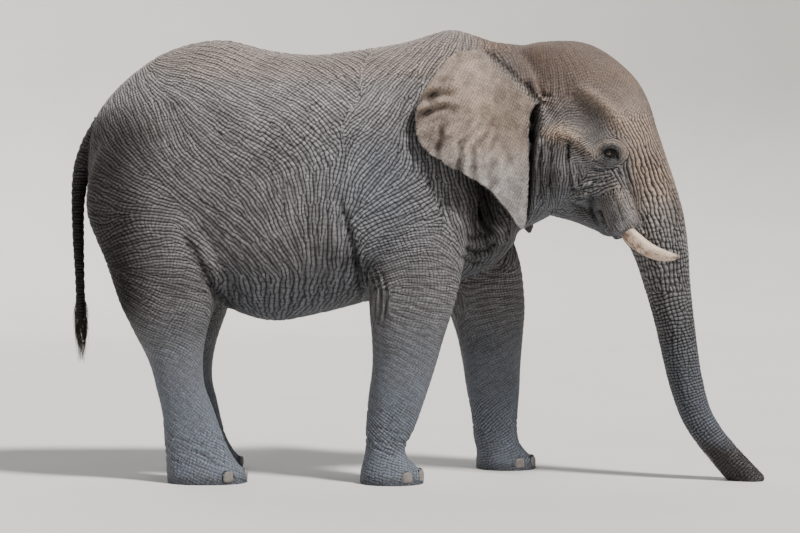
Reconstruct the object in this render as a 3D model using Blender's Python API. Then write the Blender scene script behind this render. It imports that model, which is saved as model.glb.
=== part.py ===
"""A life-size African elephant bull, standing and drinking with its trunk tip on the floor.

+X is the way the animal faces, +Y its left side and +Z up. The origin is on the floor under the middle of
the bounding box. The flesh is lofted from cross-sections, fused into one smooth body and then parted with
thin plane cuts into torso, neck, head, lengths of trunk, legs and feet. Ears, tail and lower jaw are lofted
on their own and trimmed where they meet the body; tusks, eyes and toenails sit in sockets cut for them.
"""

import math

import bmesh
import bpy
from mathutils import Matrix, Vector

# ---- driving dimensions, metres ----
GAP = 0.0004  # between two pieces that meet
FUSE_VOXEL = 0.028
FLESH_TRIANGLES = 3700
RING_POINTS = 28
RINGS_PER_SECTION = 5
BACK_POWER, BELLY_POWER = 1.85, 2.25  # an ellipse is 2: less is more ridged and more is fuller

LEG_CUT = 1.09  # height of the cut between torso and legs, just under the belly
FOOT_CUT = 0.20
FRONT_STANCE = 0.43  # half the distance between the two front feet
HIND_STANCE = 0.40

HEAD_TURN = math.radians(9.0)  # the head looks a little to the animal's right
TURN_PIVOT = 0.40  # X of the upright axis that the neck bends about
TURN_START, TURN_END = 0.30, 0.90

EYE_RADIUS = 0.027
EYE_PLACE = (1.412, 0.366, 2.280)  # of the left eye, before the head is turned
TUSK_ROOT_DEPTH = 0.12
NAIL_SIZE = (0.014, 0.042, 0.040)  # half thickness, half width and half height of a toenail
NAIL_HEIGHT = 0.052  # of its middle
NAIL_ANGLES = {"front": (-64, -23, 20, 60), "hind": (-48, -2, 44)}  # round the foot from straight ahead

# ---- cross-sections of the body ----
# x, top z, bottom z, z of the widest place, half width
TORSO = [
    (-2.345, 2.38, 2.00, 2.18, 0.10),
    (-2.30, 2.585, 1.74, 2.16, 0.24),
    (-2.20, 2.735, 1.52, 2.14, 0.38),
    (-2.02, 2.905, 1.38, 2.10, 0.50),
    (-1.76, 3.07, 1.29, 2.04, 0.605),
    (-1.40, 3.145, 1.215, 1.97, 0.69),
    (-1.04, 3.068, 1.112, 1.90, 0.745),
    (-0.72, 3.037, 1.155, 1.88, 0.765),
    (-0.40, 3.072, 1.235, 1.90, 0.75),
    (-0.10, 3.12, 1.31, 1.96, 0.695),
    (0.12, 3.19, 1.365, 2.04, 0.62),
    (0.27, 3.23, 1.40, 2.08, 0.57),
    (0.44, 3.19, 1.45, 2.11, 0.50),
    (0.60, 3.12, 1.53, 2.12, 0.42),
    (0.74, 2.98, 1.68, 2.14, 0.30),
]
NECK = [
    (0.20, 3.18, 1.72, 2.40, 0.46),
    (0.50, 3.150, 1.72, 2.42, 0.43),
    (0.80, 3.105, 1.78, 2.44, 0.40),
    (1.05, 3.04, 1.90, 2.44, 0.37),
]
# z, x at the back, x at the front, x of the widest place, half width
SKULL = [
    (3.118, 0.88, 1.20, 1.06, 0.10),
    (3.075, 0.76, 1.32, 1.06, 0.22),
    (2.99, 0.68, 1.45, 1.06, 0.29),
    (2.84, 0.64, 1.605, 1.08, 0.33),
    (2.66, 0.64, 1.70, 1.13, 0.345),
    (2.46, 0.68, 1.75, 1.20, 0.375),
    (2.30, 0.74, 1.75, 1.22, 0.400),
    (2.14, 0.80, 1.71, 1.14, 0.400),
    (2.00, 0.88, 1.60, 1.08, 0.345),
    (1.91, 0.95, 1.46, 1.12, 0.24),
]
# x, z, half depth, half width of the forehead, face and trunk, along their middle line
TRUNK = [
    (1.35, 2.74, 0.265, 0.22),
    (1.472, 2.46, 0.270, 0.24),
    (1.580, 2.16, 0.262, 0.245),
    (1.700, 1.86, 0.235, 0.225),
    (1.772, 1.62, 0.198, 0.200),
    (1.813, 1.40, 0.168, 0.178),
    (1.860, 1.15, 0.145, 0.160),
    (1.902, 0.90, 0.132, 0.146),
    (1.946, 0.68, 0.123, 0.136),
    (2.010, 0.47, 0.114, 0.126),
    (2.102, 0.31, 0.108, 0.118),
    (2.215, 0.17, 0.108, 0.112),
    (2.322, 0.05, 0.112, 0.110),
    (2.43, -0.06, 0.110, 0.105),
]
# z, depth, half width, side offset of a front leg, from the sole to the shoulder blade
FRONT_LEG = [
    (-0.04, 0.455, 0.225, 0.00),
    (0.06, 0.445, 0.218, 0.00),
    (0.13, 0.365, 0.185, 0.00),
    (0.22, 0.280, 0.155, 0.00),
    (0.38, 0.350, 0.166, 0.00),
    (0.58, 0.405, 0.182, 0.00),
    (0.80, 0.448, 0.190, 0.00),
    (1.02, 0.515, 0.205, 0.01),
    (1.26, 0.610, 0.225, 0.01),
    (1.60, 0.660, 0.230, 0.00),
    (2.00, 0.600, 0.200, -0.04),
    (2.40, 0.460, 0.150, -0.09),
    (2.72, 0.280, 0.080, -0.14),
]
# z and x of a front leg's middle line: the right one slants back, the left one is a stride ahead
FRONT_RIGHT_LINE = [(-0.04, -0.150), (0.07, -0.160), (0.22, -0.203), (0.40, -0.160), (0.58, -0.122),
                    (0.85, -0.062), (1.10, -0.033), (1.60, 0.03), (2.20, 0.12), (2.80, 0.20)]
FRONT_LEFT_LINE = [(-0.04, 0.700), (0.07, 0.690), (0.22, 0.622), (0.40, 0.612), (0.58, 0.602),
                   (0.85, 0.587), (1.10, 0.566), (1.60, 0.465), (2.20, 0.26), (2.80, 0.20)]
LEFT_WRIST = (0.25, 0.14, 0.07)  # z, reach and depth of the extra thickness over the loaded left foot
# z, x at the back, x at the front, half width, side offset of a hind leg, up to the hip
HIND_LEG = [
    (-0.04, -1.715, -1.145, 0.205, 0.00),
    (0.06, -1.725, -1.165, 0.200, 0.00),
    (0.14, -1.73, -1.235, 0.178, 0.00),
    (0.25, -1.74, -1.300, 0.160, 0.00),
    (0.38, -1.75, -1.350, 0.152, 0.00),
    (0.52, -1.765, -1.400, 0.150, 0.00),
    (0.68, -1.80, -1.460, 0.158, 0.00),
    (0.86, -1.86, -1.470, 0.178, 0.00),
    (1.05, -1.955, -1.440, 0.210, 0.01),
    (1.25, -2.045, -1.375, 0.240, 0.02),
    (1.55, -2.155, -1.230, 0.265, 0.02),
    (1.90, -2.290, -1.200, 0.255, 0.00),
    (2.25, -2.250, -1.340, 0.200, -0.06),
    (2.60, -2.100, -1.540, 0.110, -0.13),
]
HIND_LEFT_STEP = -0.115  # how far the left hind foot stands behind the right one
# x, z, radius of the tail's middle line
TAIL = [
    (-2.24, 2.54, 0.085),
    (-2.335, 2.38, 0.080),
    (-2.405, 2.20, 0.066),
    (-2.432, 1.98, 0.050),
    (-2.430, 1.70, 0.043),
    (-2.418, 1.42, 0.036),
    (-2.410, 1.16, 0.034),
]
TUFT = [
    (-2.410, 1.1590, 0.034),
    (-2.406, 1.05, 0.052),
    (-2.410, 0.93, 0.040),
    (-2.425, 0.77, 0.012),
]
# x, z, half depth, half width of the lower jaw, from the throat to the lip
JAW = [
    (0.90, 2.03, 0.13, 0.20),
    (1.06, 1.995, 0.14, 0.21),
    (1.20, 1.94, 0.125, 0.19),
    (1.33, 1.865, 0.105, 0.14),
    (1.42, 1.79, 0.075, 0.09),
    (1.455, 1.75, 0.035, 0.045),
]
# x, y, z, radius of the left tusk's sheath of skin, then of the tusk itself
SHEATH = [
    (1.45, 0.14, 2.34, 0.17),
    (1.465, 0.20, 2.14, 0.165),
    (1.485, 0.255, 1.95, 0.138),
    (1.505, 0.285, 1.81, 0.110),
    (1.525, 0.300, 1.730, 0.080),
]
TUSK = [
    (1.495, 0.288, 1.830, 0.044),
    (1.545, 0.305, 1.735, 0.050),
    (1.610, 0.328, 1.665, 0.054),
    (1.685, 0.352, 1.612, 0.050),
    (1.765, 0.374, 1.578, 0.042),
    (1.835, 0.392, 1.564, 0.030),
    (1.890, 0.404, 1.568, 0.012),
]

# ---- left ear: its outline seen from the side, as x and z, anticlockwise from the top of its root ----
EAR_OUTLINE = [
    (0.72, 3.03), (0.52, 3.01), (0.36, 2.965), (0.26, 2.84), (0.15, 2.64), (0.115, 2.48), (0.16, 2.31),
    (0.34, 2.17), (0.55, 2.05), (0.70, 1.885), (0.82, 1.765), (0.885, 1.775), (0.905, 1.90), (0.915, 2.15),
    (0.92, 2.38), (0.96, 2.54), (1.015, 2.67), (0.93, 2.83), (0.83, 2.96),
]
EAR_CENTRE = (0.60, 2.46)
EAR_RINGS = 4
EAR_SPOKES = 28
EAR_THICKNESS = (0.036, 0.015)  # at the root and at the rim
EAR_ROOT_Y, EAR_BACK_Y = 0.36, 0.735  # how far out the root and the back edge are
EAR_ROOT_X = 1.00


def new_object(name, mesh):
    obj = bpy.data.objects.new(name, mesh)
    bpy.context.scene.collection.objects.link(obj)
    return obj


def material(name, colour, roughness):
    made = bpy.data.materials.new(name)
    made.use_nodes = True
    shader = made.node_tree.nodes["Principled BSDF"]
    shader.inputs["Base Color"].default_value = (*colour, 1.0)
    shader.inputs["Roughness"].default_value = roughness
    shader.inputs["Metallic"].default_value = 0.0
    return made


def between(rows, i, t):
    """The row a share t of the way from rows[i] to the next, on a Catmull-Rom curve through all rows."""
    last = len(rows) - 1
    a, b, c, d = (rows[min(max(k, 0), last)] for k in (i - 1, i, i + 1, i + 2))
    return tuple(
        0.5 * (2 * q + (r - p) * t + (2 * p - 5 * q + 4 * r - s) * t**2 + (3 * (q - r) + s - p) * t**3)
        for p, q, r, s in zip(a, b, c, d)
    )


def smooth_rows(rows, steps=RINGS_PER_SECTION):
    """The same rows with steps - 1 more between each pair."""
    made = [between(rows, i, k / steps) for i in range(len(rows) - 1) for k in range(steps)]
    return made + [tuple(rows[-1])]


def value_at(line, z):
    """The second number of line's smooth curve where its first number is z."""
    rows = smooth_rows(line)
    for low, high in zip(rows, rows[1:]):
        if low[0] <= z <= high[0]:
            return low[1] + (high[1] - low[1]) * (z - low[0]) / (high[0] - low[0])
    return rows[0][1] if z < rows[0][0] else rows[-1][1]


def eased(share):
    share = min(max(share, 0.0), 1.0)
    return share * share * (3 - 2 * share)


def turned(point):
    """Where a point of the straight animal goes as the neck bends and the head turns."""
    angle = -HEAD_TURN * eased((point[0] - TURN_START) / (TURN_END - TURN_START))
    dx, dy = point[0] - TURN_PIVOT, point[1]
    return Vector((
        TURN_PIVOT + dx * math.cos(angle) - dy * math.sin(angle),
        dx * math.sin(angle) + dy * math.cos(angle),
        point[2],
    ))


def turned_whole(point):
    """Where a point of a piece that is carried by the head, such as an ear, goes: it turns without bending."""
    dx, dy = point[0] - TURN_PIVOT, point[1]
    c, s = math.cos(HEAD_TURN), math.sin(HEAD_TURN)
    return Vector((TURN_PIVOT + dx * c + dy * s, dy * c - dx * s, point[2]))


def turned_way(direction):
    """A direction on the head, once the head has turned."""
    return Matrix.Rotation(-HEAD_TURN, 3, "Z") @ Vector(direction)


def oval(count, power=2.0):
    """(cos, sin) round a superellipse: power 2 is an ellipse, and more is squarer."""
    made = []
    for k in range(count):
        c, s = math.cos(math.tau * k / count), math.sin(math.tau * k / count)
        made.append((
            math.copysign(abs(c) ** (2 / power), c),
            math.copysign(abs(s) ** (2 / power), s),
        ))
    return made


def loft(bm, rings, place=turned):
    """Adds a closed tube through the rings to bm."""
    loops = [[bm.verts.new(place(p)) for p in ring] for ring in rings]
    count = len(loops[0])
    faces = [bm.faces.new(loops[0]), bm.faces.new(loops[-1])]
    for low, high in zip(loops, loops[1:]):
        for k in range(count):
            n = (k + 1) % count
            faces.append(bm.faces.new((low[k], low[n], high[n], high[k])))
    bmesh.ops.recalc_face_normals(bm, faces=faces)


def upright_rings(rows):
    """Rings that stand across X, such as the torso's: a ridged back over a full belly."""
    rings = []
    ridged, full = oval(RING_POINTS, BACK_POWER), oval(RING_POINTS, BELLY_POWER)
    for x, top, bottom, middle, half_width in smooth_rows(rows):
        ring = []
        for k in range(RING_POINTS):
            up, side = ridged[k] if ridged[k][0] > 0 else full[k]
            height = (top - middle) if up > 0 else (middle - bottom)
            ring.append((x, side * half_width, middle + up * height))
        rings.append(ring)
    return rings


def level_rings(rows, y_middle=0.0, power=2.3):
    """Level rings, as for the skull: z, back, front, x of the widest place, half width."""
    rings = []
    for z, back, front, widest, half_width in smooth_rows(rows):
        ring = []
        for ahead, side in oval(RING_POINTS, power):
            reach = (front - widest) if ahead > 0 else (widest - back)
            ring.append((widest + ahead * reach, y_middle + side * half_width, z))
        rings.append(ring)
    return rings


def path_rings(points, halves, side_way, count=RING_POINTS, power=2.0):
    """Rings square to a path; halves holds each ring's half depth and half width."""
    rings = []
    for i, (point, (depth, width)) in enumerate(zip(points, halves)):
        ahead = points[min(i + 1, len(points) - 1)] - points[max(i - 1, 0)]
        across = side_way - ahead * (side_way @ ahead) / ahead.length_squared
        across.normalize()
        outward = across.cross(ahead).normalized()
        rings.append([point + outward * (c * depth) + across * (s * width) for c, s in oval(count, power)])
    return rings


def flat_path(rows, count=RING_POINTS, steps=RINGS_PER_SECTION):
    """Path rings for rows of x, z, half depth and half width in the animal's middle plane."""
    made = smooth_rows(rows, steps)
    points = [Vector((x, 0.0, z)) for x, z, _, _ in made]
    return path_rings(points, [(depth, width) for _, _, depth, width in made], Vector((0, 1, 0)), count)


def round_path(rows, side, count=RING_POINTS, steps=RINGS_PER_SECTION):
    """Path rings for rows of x, y, z and radius, on the left (side 1) or the right (side -1)."""
    made = smooth_rows(rows, steps)
    points = [Vector((x, side * y, z)) for x, y, z, _ in made]
    return path_rings(points, [(r, r) for *_, r in made], Vector((0, 1, 0)), count)


def front_leg_rings(line, side, wrist=(0.0, 1.0, 0.0)):
    rows = []
    for z, depth, half_width, offset in FRONT_LEG:
        x = value_at(line, z)
        depth += wrist[2] * eased(1 - abs(z - wrist[0]) / wrist[1])
        rows.append((z, x - depth / 2, x + depth / 2, x, half_width, side * (FRONT_STANCE + offset)))
    return leg_rings(rows)


def hind_leg_rings(side, step):
    rows = []
    for z, back, front, half_width, offset in HIND_LEG:
        shift = step * (1 - eased(z / 1.2))
        rows.append((z, back + shift, front + shift, (back + front) / 2 + shift, half_width,
                     side * (HIND_STANCE + offset)))
    return leg_rings(rows)


def leg_rings(rows):
    """Level rings whose middle may wander sideways, with the column's slightly square section."""
    rings = []
    for z, back, front, widest, half_width, y in smooth_rows(rows):
        ring = []
        for ahead, across in oval(RING_POINTS, 2.25):
            reach = (front - widest) if ahead > 0 else (widest - back)
            ring.append((widest + ahead * reach, y + across * half_width, z))
        rings.append(ring)
    return rings


def same_place(point):
    return Vector(point)


def evaluated(obj):
    """The mesh that obj's modifiers make."""
    bpy.context.view_layer.update()
    graph = bpy.context.evaluated_depsgraph_get()
    return bpy.data.meshes.new_from_object(obj.evaluated_get(graph))


def apply_modifiers(obj):
    mesh = evaluated(obj)
    obj.modifiers.clear()
    obj.data = mesh


def fused_flesh():
    """Torso, neck, head, trunk and legs as one smooth closed mesh."""
    bm = bmesh.new()
    loft(bm, upright_rings(TORSO))
    loft(bm, upright_rings(NECK))
    loft(bm, level_rings(SKULL))
    loft(bm, flat_path(TRUNK))
    loft(bm, front_leg_rings(FRONT_RIGHT_LINE, -1), same_place)
    loft(bm, front_leg_rings(FRONT_LEFT_LINE, 1, LEFT_WRIST), same_place)
    loft(bm, hind_leg_rings(-1, 0.0), same_place)
    loft(bm, hind_leg_rings(1, HIND_LEFT_STEP), same_place)
    for side in (-1, 1):
        loft(bm, round_path(SHEATH, side))
    mesh = bpy.data.meshes.new("flesh")
    bm.to_mesh(mesh)
    bm.free()
    obj = new_object("flesh", mesh)
    obj.hide_render = True
    obj.display_type = "WIRE"
    fuse = obj.modifiers.new("fuse", "REMESH")
    fuse.mode = "VOXEL"
    fuse.voxel_size = FUSE_VOXEL
    soften = obj.modifiers.new("soften", "SMOOTH")
    soften.factor = 0.5
    soften.iterations = 7
    apply_modifiers(obj)
    thin = obj.modifiers.new("thin", "DECIMATE")
    triangles = sum(len(p.vertices) - 2 for p in obj.data.polygons)
    thin.ratio = FLESH_TRIANGLES / triangles
    thin.use_collapse_triangulate = True
    apply_modifiers(obj)
    return obj


def grown(mesh, by, name):
    """A helper object: the mesh with every point moved out by a small distance."""
    copy = mesh.copy()
    normals = [v.normal.copy() for v in copy.vertices]
    for vertex, normal in zip(copy.vertices, normals):
        vertex.co += normal * by
    obj = new_object(name, copy)
    obj.hide_render = True
    obj.display_type = "WIRE"
    return obj


def cut_piece(name, mesh, planes, look):
    """The part of mesh on the positive side of each plane, given as a point and a normal, capped."""
    bm = bmesh.new()
    bm.from_mesh(mesh)
    for point, normal in planes:
        normal = Vector(normal).normalized()
        point = Vector(point) + normal * (GAP / 2)
        geometry = bm.verts[:] + bm.edges[:] + bm.faces[:]
        bmesh.ops.bisect_plane(bm, geom=geometry, dist=1e-6, plane_co=point, plane_no=normal, clear_inner=True)
        rim = [e for e in bm.edges if e.is_boundary]
        bmesh.ops.holes_fill(bm, edges=rim, sides=0)
    bmesh.ops.recalc_face_normals(bm, faces=bm.faces[:])
    made = bpy.data.meshes.new(name)
    bm.to_mesh(made)
    bm.free()
    made.materials.clear()
    made.materials.append(look)
    return new_object(name, made)


def flipped(plane):
    point, normal = plane
    return point, tuple(-n for n in normal)


def subtract(obj, cutter):
    modifier = obj.modifiers.new("cut", "BOOLEAN")
    modifier.operation = "DIFFERENCE"
    modifier.solver = "EXACT"
    modifier.object = cutter


def tube_object(name, rings, look, place=turned):
    bm = bmesh.new()
    loft(bm, rings, place)
    mesh = bpy.data.meshes.new(name)
    bm.to_mesh(mesh)
    bm.free()
    mesh.materials.append(look)
    return new_object(name, mesh)


def ear_depth(x, z):
    """How far out from the middle plane the left ear's sheet lies."""
    back = eased((EAR_ROOT_X - x) / 0.62)
    y = EAR_ROOT_Y + (EAR_BACK_Y - EAR_ROOT_Y) * back
    hang = eased((2.35 - z) / 0.6)
    top = eased((z - 2.70) / 0.32)
    return y - 0.07 * hang - 0.17 * top * back


def ear_object(name, side, look):
    """A closed, slightly curved sheet on the ear's outline, thicker at the root than at the rim."""
    rim = smooth_rows(EAR_OUTLINE + EAR_OUTLINE[:1], 12)
    rim = [rim[round(k * (len(rim) - 1) / EAR_SPOKES)] for k in range(EAR_SPOKES)]
    bm = bmesh.new()
    faces = []
    sheets = []
    for face_side in (-1, 1):
        loops = []
        for r in range(EAR_RINGS + 1):
            share = math.sin(math.pi / 2 * r / EAR_RINGS)
            loop = []
            for x_rim, z_rim in rim:
                x = EAR_CENTRE[0] + (x_rim - EAR_CENTRE[0]) * share
                z = EAR_CENTRE[1] + (z_rim - EAR_CENTRE[1]) * share
                root = eased(1 - math.dist((x, z), (EAR_ROOT_X - 0.1, 2.78)) / 0.7)
                half = (EAR_THICKNESS[1] + (EAR_THICKNESS[0] - EAR_THICKNESS[1]) * root) / 2
                half *= 1.0 if r < EAR_RINGS else 0.45
                y = ear_depth(x, z) + face_side * half
                loop.append((x, side * y, z))
                if r == 0:
                    break
            loops.append([bm.verts.new(turned_whole(p)) for p in loop])
        sheets.append(loops)
        centre = loops[0][0]
        for k in range(EAR_SPOKES):
            n = (k + 1) % EAR_SPOKES
            faces.append(bm.faces.new((centre, loops[1][k], loops[1][n])))
            for low, high in zip(loops[1:], loops[2:]):
                faces.append(bm.faces.new((low[k], high[k], high[n], low[n])))
    inner, outer = sheets[0][-1], sheets[1][-1]
    for k in range(EAR_SPOKES):
        n = (k + 1) % EAR_SPOKES
        faces.append(bm.faces.new((inner[k], inner[n], outer[n], outer[k])))
    bmesh.ops.recalc_face_normals(bm, faces=faces)
    mesh = bpy.data.meshes.new(name)
    bm.to_mesh(mesh)
    bm.free()
    mesh.materials.append(look)
    return new_object(name, mesh)


def foot_middle(foot):
    """The middle of a foot at the height of its nails."""
    xs, ys = ([v.co[i] for v in foot.data.vertices] for i in (0, 1))
    return Vector(((min(xs) + max(xs)) / 2, (min(ys) + max(ys)) / 2, NAIL_HEIGHT))


def on_surface(body, middle, angle):
    """Where the body's surface is, looking level from middle towards angle."""
    bpy.context.view_layer.update()
    way = Vector((math.cos(angle), math.sin(angle), 0.0))
    found, place, _, _ = body.ray_cast(middle + way * 0.5, -way)
    assert found, "no surface here"
    return place


def ball(name, place, radii, look, segments=10, turn=0.0):
    """An ellipsoid with the given half sizes, turned about Z."""
    bm = bmesh.new()
    bmesh.ops.create_uvsphere(bm, u_segments=segments, v_segments=segments // 2, radius=1.0)
    spin = Matrix.Rotation(turn, 4, "Z")
    bmesh.ops.transform(bm, matrix=Matrix.Translation(place) @ spin @ Matrix.Diagonal((*radii, 1)), verts=bm.verts)
    mesh = bpy.data.meshes.new(name)
    bm.to_mesh(mesh)
    bm.free()
    mesh.materials.append(look)
    return new_object(name, mesh)


def build():
    for obj in list(bpy.data.objects):
        bpy.data.objects.remove(obj, do_unlink=True)
    skin = material("skin", (0.20, 0.185, 0.17), 0.85)
    ivory = material("ivory", (0.62, 0.50, 0.38), 0.5)
    eye = material("eye", (0.03, 0.02, 0.015), 0.1)
    nail = material("nail", (0.42, 0.39, 0.34), 0.6)
    hair = material("hair", (0.03, 0.028, 0.026), 0.6)

    flesh = fused_flesh()
    body = flesh.data

    chest_plane = (tuple(turned((0.85, 0.0, 1.80))), (0.961, 0.0, 0.275))
    nape_plane = (tuple(turned((0.98, 0.0, 2.30))), tuple(turned_way((0.99, 0.0, 0.14))))
    face_plane = (tuple(turned((1.60, 0.0, 1.62))), tuple(turned_way((0.35, 0.0, -0.94))))
    trunk_planes = [face_plane]
    for x, z, way in ((1.79, 1.42, (0.2, 0, -0.98)), (1.892, 0.94, (0.22, 0, -0.975)), (2.02, 0.44, (0.5, 0, -0.87))):
        trunk_planes.append((tuple(turned((x, 0.0, z))), tuple(turned_way(way))))
    floor = ((0.0, 0.0, -GAP / 2), (0.0, 0.0, 1.0))
    belly = ((0.0, 0.0, LEG_CUT), (0.0, 0.0, 1.0))
    ankle = ((0.0, 0.0, FOOT_CUT), (0.0, 0.0, 1.0))
    waist = ((-0.80, 0.0, 0.0), (1.0, 0.0, 0.0))
    left_half = ((0.0, 0.0, 0.0), (0.0, 1.0, 0.0))

    cut_piece("torso", body, [flipped(chest_plane), belly], skin)
    cut_piece("neck", body, [chest_plane, flipped(nape_plane)], skin)
    head = cut_piece("head", body, [chest_plane, nape_plane, flipped(face_plane)], skin)
    lengths = ("trunk_base", "trunk_upper", "trunk_middle", "trunk_tip")
    for i, name in enumerate(lengths):
        planes = [chest_plane, trunk_planes[i]]
        planes.append(flipped(trunk_planes[i + 1]) if i + 1 < len(lengths) else floor)
        cut_piece(name, body, planes, skin)
    feet = {}
    for end, along in (("front", waist), ("hind", flipped(waist))):
        for side, across in (("left", left_half), ("right", flipped(left_half))):
            quarter = [flipped(chest_plane), along, across]
            cut_piece(f"leg_{end}_{side}", body, [*quarter, flipped(belly), ankle], skin)
            feet[end, side] = cut_piece(f"foot_{end}_{side}", body, [*quarter, flipped(ankle), floor], skin)

    clearance = grown(body, GAP, "flesh_clearance")
    for side, word in ((1, "left"), (-1, "right")):
        ear = ear_object(f"ear_{word}", side, skin)
        subtract(ear, clearance)
        tusk_rings = round_path(TUSK, side, count=12, steps=1)
        tusk = tube_object(f"tusk_{word}", tusk_rings, ivory)
        x, y, z = EYE_PLACE
        eyeball = ball(f"eye_{word}", turned((x, side * y, z)), (EYE_RADIUS,) * 3, eye)
        subtract(head, grown(tusk.data, GAP, f"tusk_socket_{word}"))
        subtract(head, grown(eyeball.data, GAP, f"eye_socket_{word}"))

    tail_rows = [(x, 0.0, z, r) for x, z, r in TAIL]
    tail = tube_object("tail", round_path(tail_rows, 1, 10, 2), skin)
    subtract(tail, clearance)
    tuft_rows = [(x, 0.0, z, r) for x, z, r in TUFT]
    tube_object("tail_tuft", round_path(tuft_rows, 1, 8, 3), hair)
    jaw = tube_object("lower_jaw", flat_path(JAW, 14, 2), skin)
    subtract(jaw, clearance)

    for (end, side), foot in feet.items():
        middle = foot_middle(foot)
        for i, angle in enumerate(NAIL_ANGLES[end], 1):
            angle = math.radians(angle if side == "left" else -angle)
            place = on_surface(flesh, middle, angle)
            toenail = ball(f"nail_{end}_{side}_{i}", place, NAIL_SIZE, nail, 8, angle)
            subtract(foot, grown(toenail.data, GAP, f"nail_bed_{end}_{side}_{i}"))


build()
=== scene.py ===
"""Looks of the life-size African elephant: one wrinkled skin, eyes, tusks, nails and hair over the solids."""

import math

import bmesh
import bpy
import numpy as np
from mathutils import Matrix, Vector


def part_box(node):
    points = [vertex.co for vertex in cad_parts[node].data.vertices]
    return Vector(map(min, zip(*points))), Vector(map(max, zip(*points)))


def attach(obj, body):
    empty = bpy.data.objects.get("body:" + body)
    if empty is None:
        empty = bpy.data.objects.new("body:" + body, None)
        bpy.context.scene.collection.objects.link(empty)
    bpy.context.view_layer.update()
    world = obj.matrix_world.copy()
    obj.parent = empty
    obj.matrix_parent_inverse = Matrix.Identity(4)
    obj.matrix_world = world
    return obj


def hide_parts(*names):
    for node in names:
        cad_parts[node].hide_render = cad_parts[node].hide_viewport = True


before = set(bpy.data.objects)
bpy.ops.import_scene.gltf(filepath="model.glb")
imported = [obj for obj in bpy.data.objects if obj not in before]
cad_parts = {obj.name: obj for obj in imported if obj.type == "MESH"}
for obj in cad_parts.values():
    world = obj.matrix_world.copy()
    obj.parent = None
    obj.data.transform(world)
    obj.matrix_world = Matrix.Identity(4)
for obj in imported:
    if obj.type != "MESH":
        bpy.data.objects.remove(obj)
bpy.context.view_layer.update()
SIDES = (("right", -1), ("left", 1))


# ---- the body's own measures in metres, the same as the solids' ----
# TORSO, NECK: x, top, bottom, height of the widest place, half width
# SKULL: z, back, front, x of the widest place, half width; TRUNK, JAW: x, z, half depth, half width
# FRONT_LEG: z, depth, half width, way out; the lines give x for each z; LEFT_WRIST: z, reach, extra depth
# HIND_LEG: z, back, front, half width, way out; TAIL: x, z, radius; SHEATH, TUSK: x, y, z, radius
RING_POINTS = 40
RINGS_PER_SECTION = 8
BACK_POWER, BELLY_POWER = 1.85, 2.25  # how square a ring is
SKULL_POWER, LEG_POWER = 2.3, 2.25
FRONT_STANCE, HIND_STANCE = 0.43, 0.40
HEAD_TURN = math.radians(9.0)
TURN_PIVOT = 0.40
TURN_START, TURN_END = 0.30, 0.90
FUSE_VOXEL = 0.028
SKIN_VOXEL = 0.0077
SKIN_SINK = 0.002  # how far the wrinkled skin lies inside the plain one
FUSE_SMOOTHING, SKIN_SMOOTHING = 7, 2

TORSO = [
    (-2.345, 2.38, 2.00, 2.18, 0.10),
    (-2.30, 2.585, 1.74, 2.16, 0.24),
    (-2.20, 2.735, 1.52, 2.14, 0.38),
    (-2.02, 2.905, 1.38, 2.10, 0.50),
    (-1.76, 3.07, 1.29, 2.04, 0.605),
    (-1.40, 3.145, 1.215, 1.97, 0.69),
    (-1.04, 3.068, 1.112, 1.90, 0.745),
    (-0.72, 3.037, 1.155, 1.88, 0.765),
    (-0.40, 3.072, 1.235, 1.90, 0.75),
    (-0.10, 3.12, 1.31, 1.96, 0.695),
    (0.12, 3.19, 1.365, 2.04, 0.62),
    (0.27, 3.23, 1.40, 2.08, 0.57),
    (0.44, 3.19, 1.45, 2.11, 0.50),
    (0.60, 3.12, 1.53, 2.12, 0.42),
    (0.74, 2.98, 1.68, 2.14, 0.30),
]
NECK = [
    (0.20, 3.18, 1.72, 2.40, 0.46),
    (0.50, 3.150, 1.72, 2.42, 0.43),
    (0.80, 3.105, 1.78, 2.44, 0.40),
    (1.05, 3.04, 1.90, 2.44, 0.37),
]
SKULL = [
    (3.118, 0.88, 1.20, 1.06, 0.10),
    (3.075, 0.76, 1.32, 1.06, 0.22),
    (2.99, 0.68, 1.45, 1.06, 0.29),
    (2.84, 0.64, 1.605, 1.08, 0.33),
    (2.66, 0.64, 1.70, 1.13, 0.345),
    (2.46, 0.68, 1.75, 1.20, 0.375),
    (2.30, 0.74, 1.75, 1.22, 0.400),
    (2.14, 0.80, 1.71, 1.14, 0.400),
    (2.00, 0.88, 1.60, 1.08, 0.345),
    (1.91, 0.95, 1.46, 1.12, 0.24),
]
TRUNK = [
    (1.35, 2.74, 0.265, 0.22),
    (1.472, 2.46, 0.270, 0.24),
    (1.580, 2.16, 0.262, 0.245),
    (1.700, 1.86, 0.235, 0.225),
    (1.772, 1.62, 0.198, 0.200),
    (1.813, 1.40, 0.168, 0.178),
    (1.860, 1.15, 0.145, 0.160),
    (1.902, 0.90, 0.132, 0.146),
    (1.946, 0.68, 0.123, 0.136),
    (2.010, 0.47, 0.114, 0.126),
    (2.102, 0.31, 0.108, 0.118),
    (2.215, 0.17, 0.108, 0.112),
    (2.322, 0.05, 0.112, 0.110),
    (2.43, -0.06, 0.110, 0.105),
]
FRONT_LEG = [
    (-0.04, 0.455, 0.225, 0.00),
    (0.06, 0.445, 0.218, 0.00),
    (0.13, 0.365, 0.185, 0.00),
    (0.22, 0.280, 0.155, 0.00),
    (0.38, 0.350, 0.166, 0.00),
    (0.58, 0.405, 0.182, 0.00),
    (0.80, 0.448, 0.190, 0.00),
    (1.02, 0.515, 0.205, 0.01),
    (1.26, 0.610, 0.225, 0.01),
    (1.60, 0.660, 0.230, 0.00),
    (2.00, 0.600, 0.200, -0.04),
    (2.40, 0.460, 0.150, -0.09),
    (2.72, 0.280, 0.080, -0.14),
]
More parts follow.
